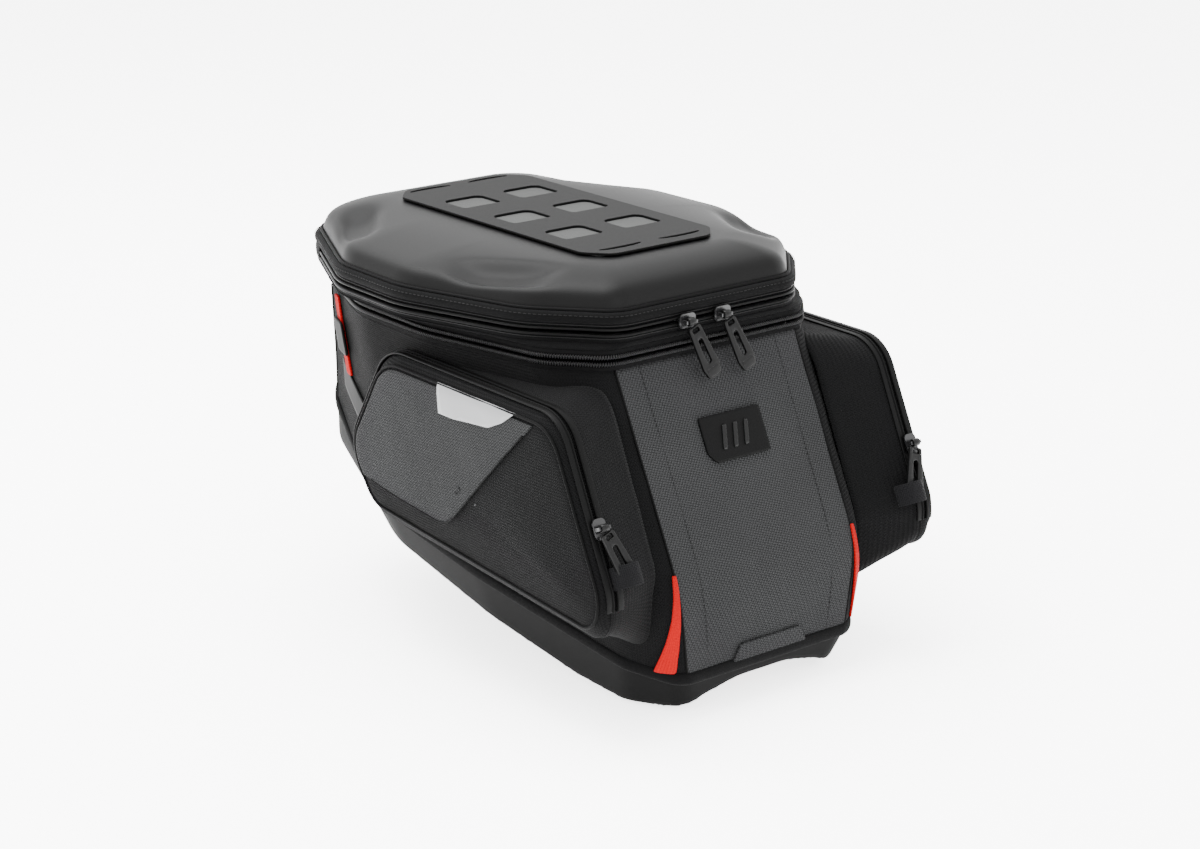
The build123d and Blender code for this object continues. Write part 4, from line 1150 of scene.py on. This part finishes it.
# %% Draw one pocket face
rim_ring = side_ring(RIM, CHAIN_X + GAP)
flap_rows = [rim_ring, side_ring(RIM, 133.0), side_ring(grown(RIM, -0.8), 135.4),
             side_ring(grown(FACE, 1.6), 138.2)]
flap_rows += [side_ring(grown(FACE, -0.6), 139.8), side_ring(grown(FACE, -4.0), 141.0)]
FACE_SEAM_ROW = len(flap_rows) - 2
inner = flap_rows[-1]
centre = inner.mean(axis=0)
for share in (0.94, 0.87, 0.79, 0.7, 0.61, 0.52, 0.43, 0.34, 0.25, 0.16, 0.07):
    flap_rows.append(centre + (inner - centre) * share + np.array((CROWN * (1 - share ** 2), 0, 0)))
flap = grid_mesh("pocket_flap_right_cloth", flap_rows, black_cloth, cap=True)
width = len(rim_ring)
print("pocket face", len(flap_rows), "rows of", width)


# %% Puff it and lay its cloth straight
def straight_map(thing):
    """Lay the cloth map flat over a side face, so that its threads run straight."""
    layer = thing.data.uv_layers[CLOTH_MAP]
    for loop in thing.data.loops:
        co = thing.data.vertices[loop.vertex_index].co
        layer.data[loop.index].uv = (co.y / MM, co.z / MM)


turn_out(flap, lambda p: p.normal.x)
puff(flap, range(width * (FACE_SEAM_ROW + 1)), 1.2, POCKET_PUFF)
calm = coordinates(flap)
calm[:-1, 1:] = np.array(flap_rows).reshape(-1, 3)[:, 1:]
depth = calm[:-1, 0].reshape(len(flap_rows), width).copy()
level = depth[-6].mean()
for row, share in zip(range(-5, 0), (0.43, 0.34, 0.25, 0.16, 0.07)):
    depth[row] = level + (depth[-6] - level) * share / 0.52
calm[:-1, 0] = depth.ravel()
calm[-1] = (level, *flap_rows[-1].mean(axis=0)[1:])
place(flap, calm)
straight_map(flap)
subdivide(flap)
print("middle of the face, mm:", [round(v, 1) for v in calm[-1]])

# %% Join the crowded points in the middle
pole = Vector((0, *flap_rows[-1].mean(axis=0)[1:])) * MM
POLE_REACH, CROWDED, FOAM_THICK = 9.0, 0.6, 1.8


def join_crowded(shape):
    """Merge the crowded points round the pole of the sheet, where all its lines meet."""
    near = [v for v in shape.verts if math.hypot(v.co.y - pole.y, v.co.z - pole.z) < POLE_REACH * MM]
    bmesh.ops.remove_doubles(shape, verts=near, dist=CROWDED * MM)


edit(flap, join_crowded)
ruffle(flap, 0.5, 0.04, 3.0, lambda p: np.clip((p[:, 0] - 138) / 3, 0, 1))

# %% Patch and reflector
patch = copied(flap, "pocket_patch_right_cloth", patch_cloth)
cut_away(patch, half_planes(PATCH_EDGE))
drop_faces_below(patch, 0.1403)


def surface_point(y, z, lift=0.0):
    """A point on the right pocket's face at this place in side view, lifted off it by mm."""
    hit, normal, _, _ = face_tree.ray_cast(Vector((0.3, y * MM, z * MM)), Vector((-1, 0, 0)))
    return np.array(hit) / MM + np.array(normal) * lift, np.array(normal)


face_tree = BVHTree.FromObject(flap, bpy.context.evaluated_depsgraph_get())
raised(patch, 1.0)
thicken(patch, 1.0)
reflector = copied(flap, "pocket_reflector_right_film", silver_film)
cut_away(reflector, half_planes(REFLECTOR + REFLECTOR[:1]))
drop_faces_below(reflector, 0.139)
raised(reflector, 1.5)
thicken(reflector, 0.5)

print("patch", len(patch.data.vertices), "points, reflector", len(reflector.data.vertices))

# %% Piping on the patch and round the face
patch_line = np.array(PATCH_EDGE, float)
patch_along = np.concatenate([[0], np.cumsum(np.linalg.norm(np.diff(patch_line, axis=0), axis=1))])
edge = [[np.interp(at, patch_along, patch_line[:, i]) for i in (0, 1)]
        for at in np.linspace(0.06, 0.92, 64) * patch_along[-1]]
on_face = [surface_point(y, z, 1.15) for y, z in edge]
patch_piping = sweep("pocket_patch_seam_right", [p for p, _ in on_face], [(0, 0.7, 0.7)] * len(on_face),
                     cord_profile(0.5), piping_cord,
                     closed=False, up=[n for _, n in on_face])
face_seam = side_ring(grown(FACE, 0.2), 139.9)
seam_out = np.column_stack([np.zeros(width), outward(face_seam[:, 1:])])
if seam_out[0] @ (face_seam[0] - face_seam.mean(axis=0)) < 0:
    seam_out = -seam_out
along_x = np.tile((1.0, 0.0, 0.0), (width, 1))
face_piping = sweep("pocket_face_piping_right", face_seam, seam_out, cord_profile(1.1), piping_cord,
                    up=along_x)
subdivide(face_piping)
print("piping", round(float(patch_along[-1])), "mm along the patch")


# %% Zipper of the pocket
def above_fold(points):
    """True for points of the rim above the stretch where the tray is sewn to its gusset."""
    low, high = np.array(RIM[0][:2], float), np.array(RIM[-1][:2], float)
    run = (high - low) / np.linalg.norm(high - low)
    return (points[:, 2] - low[1]) * run[0] - (points[:, 1] - low[0]) * run[1] > FOLD_HEIGHT


chain_line = side_ring(RIM, 0)
up_part = above_fold(chain_line)
start = next(i for i in range(width) if up_part[i] and not up_part[i - 1])
zip_columns = [(start + k) % width for k in range(int(up_part.sum()))]
fold_columns = [(zip_columns[-1] + k) % width for k in range(width - len(zip_columns) + 2)]
zip_line, zip_out = chain_line[zip_columns], seam_out[zip_columns]
zip_up = along_x[zip_columns]
TAPE_WIDTH, LIP_WIDTH = 6.4, 2.6


def pocket_strip(name, low, high):
    """A tape, or the lip along it, between two distances from the middle of the chain."""
    if "tape" in name:
        (inner, outer), corner, material = (0.1, 1.3), 0.5, tape_film
    else:
        (inner, outer), corner, material = (0.6, 1.9), 0.6, piping_cord
    profile = rounded_profile(inner, outer, CHAIN_X + low, CHAIN_X + high, corner)
    return sweep(f"pocket_{name}_right", zip_line, zip_out, profile, material, closed=False, up=zip_up)


outer_tape = pocket_strip("tape_outer", GAP, TAPE_WIDTH)
inner_tape = pocket_strip("tape_inner", -TAPE_WIDTH, -GAP)
outer_lip = pocket_strip("lip_outer", GAP, LIP_WIDTH)
inner_lip = pocket_strip("lip_inner", -LIP_WIDTH, -GAP)
print("pocket zipper", len(zip_columns), "of", width, "columns; the fold takes the rest")

# %% Pocket wall
rim_at, root_at = side_ring(RIM, WALL_X), side_ring(ROOT, ROOT_X)
gusset_rows = [side_ring(RIM, CHAIN_X - GAP), side_ring(RIM, 126.5), rim_at]
stops = []
for a, b in zip(rim_at, root_at):
    share = next((t for t in np.linspace(0, 1, 41) if in_body(a + (b - a) * t)), 1.0)
    stops.append(min(1.0, share + 0.03))
stops = np.array(stops)
for _ in range(3):
    stops = (np.roll(stops, 1) + stops * 2 + np.roll(stops, -1)) / 4
for k in range(1, 6):
    gusset_rows.append(rim_at + (root_at - rim_at) * (stops * k / 5)[:, None])
gusset = grid_mesh("pocket_gusset_right_cloth", gusset_rows, black_cloth)
turn_out(gusset, lambda p: p.normal.dot(p.center - Vector((0.12, -0.03, 0.1))))
subdivide(gusset)
ruffle(gusset, 0.8, 0.05, 8.0, lambda p: np.clip((126 - p[:, 0]) / 6, 0, 1))
thicken(gusset, FOAM_THICK, lining_cloth)
print("wall reaches the body at", round(float(stops.min()), 2), "to", round(float(stops.max()), 2),
      "of its way")

# %% Thickness of the face and the fold under it
outer_points = coordinates(flap)
thicken(flap, FOAM_THICK, lining_cloth)
lining_points = coordinates(flap)
near_pole = np.hypot(outer_points[:, 1] - pole.y / MM, outer_points[:, 2] - pole.z / MM) < POLE_REACH
copies = len(outer_points) + np.flatnonzero(near_pole)
lining_points[copies] = outer_points[near_pole] - (FOAM_THICK, 0, 0)
place(flap, lining_points)
fold_rows = [side_ring(grown(RIM, g), x)[fold_columns] for g,
             x in ((0.1, 127.0), (0.35, 128.6), (0.45, 130.0), (0.35, 131.4), (0.1, 133.0))]
pocket_fold = grid_mesh("pocket_fold_right", fold_rows, black_cloth, closed=False)
turn_out(pocket_fold, lambda p: p.normal.dot(p.center - Vector((0.13, -0.03, 0.1))))
subdivide(pocket_fold)
thicken(pocket_fold, 0.9)
print("pocket face", len(flap.data.vertices), "points")

# %% Elastic garage and the tucked pull
low_end, high_end = np.array(RIM[1][:2], float), np.array(RIM[2][:2], float)
climb = (high_end - low_end) / np.linalg.norm(high_end - low_end)
SLIDER_Z = 97.0
slider_y = low_end[0] + climb[0] / climb[1] * (SLIDER_Z - low_end[1])
pocket_spot = axes_matrix((CHAIN_X, slider_y, SLIDER_Z), (0, climb[0], climb[1]), (0, -climb[1], climb[0]))
pocket_pull = moulded_pull("pocket_pull_right_rubber",
                           pocket_spot @ Matrix.Rotation(math.radians(-90), 4, "Z"), -PULL_LEAN, -4.0)
garage_rows = []
for along in np.linspace(-38, -24, 8):
    row = []
    for across in np.linspace(-1, 1, 15):
        height = 10.6 * (1 - abs(across) ** 3.2) - 0.5 + 0.5 * math.sin((along + 38) / 14 * math.pi)
        point = pocket_spot @ Vector((along * MM, (-0.6 + 11.3 * (across + 1)) * MM, height * MM))
        row.append(np.array(point) / MM)
    garage_rows.append(row)
garage = grid_mesh("pocket_garage_right_webbing", garage_rows, black_webbing, closed=False)
subdivide(garage)
turn_out(garage, lambda p: -p.normal.y, recalculate=False)
thicken(garage, 1.0)
print("pocket slider at", round(float(slider_y), 1), SLIDER_Z)

# %% Hang both pockets on their bodies
for piece, body, slot, nodes in (
        (flap, "pocket_flap", "black_fabric", ["pocket_flap"]),
        (patch, "pocket_flap", "grey_weave", ["pocket_mesh_patch"]),
        (reflector, "pocket_flap", "reflective", ["pocket_reflector"]),
        (patch_piping, "pocket_flap", "black_fabric", []),
        (face_piping, "pocket_flap", "black_fabric", []),
        (outer_tape, "pocket_flap", "zipper_tape", ["pocket_zip_outer"]),
        (outer_lip, "pocket_flap", "zipper_tape", []),
        (inner_lip, "root", "zipper_tape", []),
        (inner_tape, "root", "zipper_tape", ["pocket_zip_inner"]),
        (gusset, "root", "black_fabric", ["pocket_gusset"]),
        (garage, "root", "black_fabric", ["pocket_garage"]),
        (pocket_pull, "pocket_slider", "pull_rubber", ["pocket_pull"]),
        (pocket_fold, None, "black_fabric", [])):
    twin = mirror_piece(piece, piece.name.replace("_right", "_left"))
    for side, thing in (("right", piece), ("left", twin)):
        if body is None:
            sign = 1 if side == "right" else -1
            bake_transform(thing)
            continue
        target = body if body == "root" else f"{body}_{side}"
        finish_piece(thing, target, slot, *[f"{node}_{side}" for node in nodes])

# %% [markdown]
# ## Belly pan
# The pan is pressed foam like the lid. Its CAD solid has sharp edges where the mould is round, so a
# copy is remeshed with small cells and relaxed, which rounds every edge by a few millimetres.

# %% Belly pan and binding
def relaxed_copy(node, name, material, cell, rounds):
    thing = copied(frame["nodes"][node], name, material)
    remesh = thing.modifiers.new("cells", "REMESH")
    remesh.mode = "VOXEL"
    remesh.voxel_size = cell * MM
    relax = thing.modifiers.new("relax", "SMOOTH")
    relax.factor = 0.5
    relax.iterations = rounds
    bake_modifiers(thing)
    return thing


pan = relaxed_copy("base_pan", "belly_pan", pan_foam, 1.5, 24)
finish_piece(pan, "root", "eva_base", "base_pan")
foot_out = outward(foot_ring)
binding_profile = [(-1.5, 0), (-1.5, -4.4), (0.8, -4.2), (1.9, -2.6), (2.3, 0.2), (2.0, 3.0), (1.0, 4.4),
                   (-0.5, 4.2)]
binding = sweep("base_binding_cloth", foot_ring, foot_out, binding_profile, band_cloth)
subdivide(binding)
finish_piece(binding, "root", "black_fabric", "base_binding")
print("pan", len(pan.data.vertices), "points")

# %% [markdown]
# ## Webbing, badge, flap and handle
# Small sewn-on pieces follow the puffed panels. Each is drawn flat, dropped onto the body along one
# direction, and given its thickness. The badge is a plain rubber shield with three raised bars.

# %% Pieces laid on the body
def laid_on(name, rows, direction, gap, thickness, material):
    """A sheet dropped onto the body: rows of points start outside it and travel along direction."""
    placed = []
    for row in rows:
        line = []
        for point in row:
            hit, normal, _, _ = body_tree.ray_cast(Vector(point) * MM, Vector(direction))
            if hit is None:
                hit, normal, _, _ = body_tree.find_nearest(Vector(point) * MM)
            line.append(np.array(hit) / MM + np.array(normal) * (gap + thickness))
        placed.append(line)
    sheet = grid_mesh(name, placed, material, closed=False)
    middle = np.mean(np.array(placed).reshape(-1, 3), axis=0) - np.array((0, 30, 80))
    turn_out(sheet, lambda p: p.normal.dot(Vector(middle)), recalculate=False)
    subdivide(sheet)
    thicken(sheet, thickness)
    return sheet


FAR_REAR, FAR_SIDE = -260, 200  # where pieces start before they are dropped onto the body
print("pieces start at y", FAR_REAR, "or x", FAR_SIDE, "and travel inwards")

# %% Webbing loops, keepers and side strips
for side, sign in (("right", 1), ("left", -1)):
    rows = []
    for z in np.linspace(-7.5, 56, 22):
        low, high = 73.5, 75.8 + 6.0 * (56 - z) / 63.5
        rows.append([(sign * (low + (high - low) * t), FAR_REAR, z) for t in np.linspace(0, 1, 5)])
    loop = laid_on(f"rear_loop_{side}_webbing", rows, (0, 1, 0), 0.4, 1.5, red_webbing)
    finish_piece(loop, "root", "red_webbing", *(["rear_loops"] if side == "right" else []))
    rows = []
    for t in np.linspace(0, 1, 20):
        y, z = 162 - 22 * t, 172 - 50 * t
        bulge = 7 * math.sin(math.pi * t)
        rows.append([(sign * (150 + bulge), y + w, z) for w in np.linspace(2, 12, 4)])
    loop = laid_on(f"front_loop_{side}_webbing", rows, (-sign, 0, 0), 0.6, 1.5, red_webbing)
    finish_piece(loop, "root", "red_webbing", *(["front_loops"] if side == "right" else []))
    rows = []
    for t in np.linspace(0.3, 0.72, 10):
        y, z = 160 - 22 * t, 172 - 50 * t
        rows.append([(sign * 160, y + w, z) for w in np.linspace(-1, 19, 5)])
    keeper = laid_on(f"front_loop_{side}_keeper", rows, (-sign, 0, 0), 2.4, 1.6, sheet_rubber)
    finish_piece(keeper, "root", "rubber_sheet")
    rows = []
    for t in np.linspace(0, 1, 16):
        a = np.array((113, 86)) + (np.array((162, 110)) - (113, 86)) * t
        b = np.array((114, 106)) + (np.array((163, 130)) - (114, 106)) * t
        rows.append([(sign * FAR_SIDE, *(a + (b - a) * s)) for s in np.linspace(0, 1, 6)])
    strip = laid_on(f"side_strip_{side}_rubber", rows, (-sign, 0, 0), 0.2, 1.3, sheet_rubber)
    finish_piece(strip, "root", "rubber_sheet", *(["side_strips"] if side == "right" else []))

# %% Badge and strap flap
badge_rows = []
for z in np.linspace(110.5, 137.5, 10):
    left = -25.0 + max(0.0, 116.5 - z)
    badge_rows.append([(left + (25.0 - left) * t, FAR_REAR, z) for t in np.linspace(0, 1, 16)])
badge = laid_on("badge_rubber", badge_rows, (0, 1, 0), 0.3, 1.6, sheet_rubber)
for number, x in enumerate((-9, 0, 9)):
    rows = [[(x + dx + (z - 124) * 0.3, FAR_REAR, z) for dx in (-1.6, -0.6, 0.6, 1.6)]
            for z in np.linspace(117, 131, 6)]
    bar = laid_on(f"badge_bar_{number + 1}", rows, (0, 1, 0), 1.9, 0.7, pull_rubber)
    finish_piece(bar, "root", "rubber_sheet")
finish_piece(badge, "root", "rubber_sheet", "badge")
rows = []
for z in np.linspace(-10, 1, 8):
    half = 25 + 6 * (1 - z) / 11
    rows.append([(half * s, FAR_REAR, z) for s in np.linspace(-1, 1, 14)])
flap_piece = laid_on("strap_flap_cloth", rows, (0, 1, 0), 0.4, 1.4, coarse_cloth)
finish_piece(flap_piece, "root", "black_fabric", "strap_flap")
print("badge", len(badge.data.vertices), "points")

# %% Panel seams
def on_body(column, lift):
    line = body_points[:, column]
    normals = []
    for point in line:
        _, normal, _, _ = body_tree.find_nearest(Vector(point) * MM)
        normals.append(np.array(normal))
    normals = np.array(normals)
    return line + normals * lift, normals


for name, column in (("rider_seam_left", seam_left), ("rider_seam_right", seam_right),
                     ("front_seam_left", front_left), ("front_seam_right", front_right)):
    line, normals = on_body(column, 0.1)
    sides = np.cross(np.gradient(line, axis=0), normals)
    sides /= np.linalg.norm(sides, axis=1)[:, None]
    cord = sweep(name, line, sides, cord_profile(0.8), piping_cord, closed=False, up=normals)
    subdivide(cord)
    finish_piece(cord, "root", "black_fabric")
    beside = 3 if name in ("rider_seam_left", "front_seam_right") else -3
    row, row_up = on_body((column + beside) % columns, 0.1)
    thread = stitches(name + "_stitches", row, row_up, thread_black, 3.4, 2.3, 0.24)
    finish_piece(thread, "root", "black_fabric")
    print(name, "with", len(thread.data.vertices) // 20, "stitches")

# %% Carry handle
HANDLE_X, HANDLE_Y, HANDLE_Z, HANDLE_DROP = 46.0, 221.5, 160.0, 32.0
strap_path = [(-HANDLE_X, 0), (-HANDLE_X, -12), (-HANDLE_X + 1.5, -22), (-HANDLE_X + 9, -30),
              (-HANDLE_X + 20, -HANDLE_DROP)]
strap_path += [(-x, z) for x, z in reversed(strap_path)]
strap_path = np.array(strap_path, float)
fine = np.linspace(0, 1, 41)
knots = np.linspace(0, 1, len(strap_path))
smooth_path = np.column_stack([np.interp(fine, knots, strap_path[:, 0]), np.zeros(41),
                               np.interp(fine, knots, strap_path[:, 1])])
for _ in range(4):
    smooth_path[1:-1] = (smooth_path[:-2] + 2 * smooth_path[1:-1] + smooth_path[2:]) / 4
side_dir = np.gradient(smooth_path, axis=0)
side_dir = np.cross(side_dir / np.linalg.norm(side_dir, axis=1)[:, None], (0, 1.0, 0))
half_width = 6 + 4 * np.sin(np.pi * fine) ** 0.5
handle_rows = []
for a, b in rounded_profile(-1, 1, -2.4, 2.4, 0.9 / 2.4):
    sideways = side_dir * (a * half_width)[:, None]
    handle_rows.append(smooth_path + sideways + np.array((0, HANDLE_Y, HANDLE_Z)) + np.array((0, b, 0)))
handle_rows.append(handle_rows[0])
handle = grid_mesh("carry_handle_webbing", handle_rows, black_webbing, closed=False)
merge(handle)
close_ends(handle)
finish_piece(handle, "carry_handle", "black_webbing", "carry_handle")
print("handle", len(handle.data.vertices), "points")

# %% [markdown]
# ## Inside and underneath
# The rest is seen when the lid is open or from below: the sleeve that unfolds when the bag grows,
# the net pocket in the lid, the ring, its screws and the latch. The fabric hinge at the front sits
# between the collar and the lid.

# %% Sleeve that unfolds
sleeve_flat = ring(grown(TOP_OUTLINE, -9.4))
sleeve_rows = []
for k, z in enumerate(np.linspace(120, 187, 16)):
    wave = np.array([0.5 * math.sin(0.35 * j + k) for j in range(len(sleeve_flat))])
    low = np.maximum(z, base_height(sleeve_flat[:, 1]) + 9)
    sleeve_rows.append(lifted(sleeve_flat + outward(sleeve_flat) * wave[:, None] * (k < 15), low))
sleeve = grid_mesh("expansion_sleeve_cloth", sleeve_rows, black_cloth)
thicken(sleeve, 0.9, lining_cloth)
finish_piece(sleeve, "collar", "black_fabric", "expansion_sleeve")
print("sleeve rows:", len(sleeve_rows))

# %% Net pocket and fabric hinge of the lid
net_edge = ring(grown(LID_OUTLINE, -7.2))
net_rows = [lifted(net_edge.mean(axis=0) + (net_edge - net_edge.mean(axis=0)) * s,
                   208.2 - 1.5 * (1 - s)) for s in (1, 0.97, 0.8, 0.6, 0.4, 0.2, 0.05)]
net = grid_mesh("lid_net_pocket", net_rows, lining_cloth, cap=True)
thicken(net, 0.7)
finish_piece(net, "lid", "lining", "lid_mesh_pocket")
hinge_columns = [i for i in range(len(lid_flat)) if lid_flat[i, 1] >= 180.0]
hinge_rows = []
for out_by, z in ((0.6, 190.4), (1.4, 192.5), (1.9, 195.0), (2.0, 197.5), (1.9, 200.0), (1.3, 202.6),
                  (0.4, 204.0)):
    hinge_rows.append(lifted(lid_flat[hinge_columns] + lid_out[hinge_columns] * out_by, z))
hinge = grid_mesh("lid_hinge_fabric", hinge_rows, band_cloth, closed=False)
subdivide(hinge)
thicken(hinge, 0.9)
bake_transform(hinge)
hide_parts("lid_hinge_tape")
print("hinge columns:", len(hinge_columns))

# %% Ring and its hardware
for node, width_mm, material in (
        ("tank_ring", 0.6, plastic), ("ring_latch", 0.5, plastic), ("base_plate", 0.4, plastic),
        ("handle_mounts", 0.5, plastic), ("ring_screws", 0.25, zinc), ("ring_washers", 0.15, zinc),
        ("ring_nuts", 0.2, zinc), ("ring_magnets", 0.3, zinc), ("release_strap", 0.3, red_webbing)):
    softened(node, width_mm, material)
print("hardware keeps its CAD shape, with softened edges")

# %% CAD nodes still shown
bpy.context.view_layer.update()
shown = [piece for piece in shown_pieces() if "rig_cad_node" in piece]
print("CAD nodes shown:", sorted(piece.name for piece in shown))
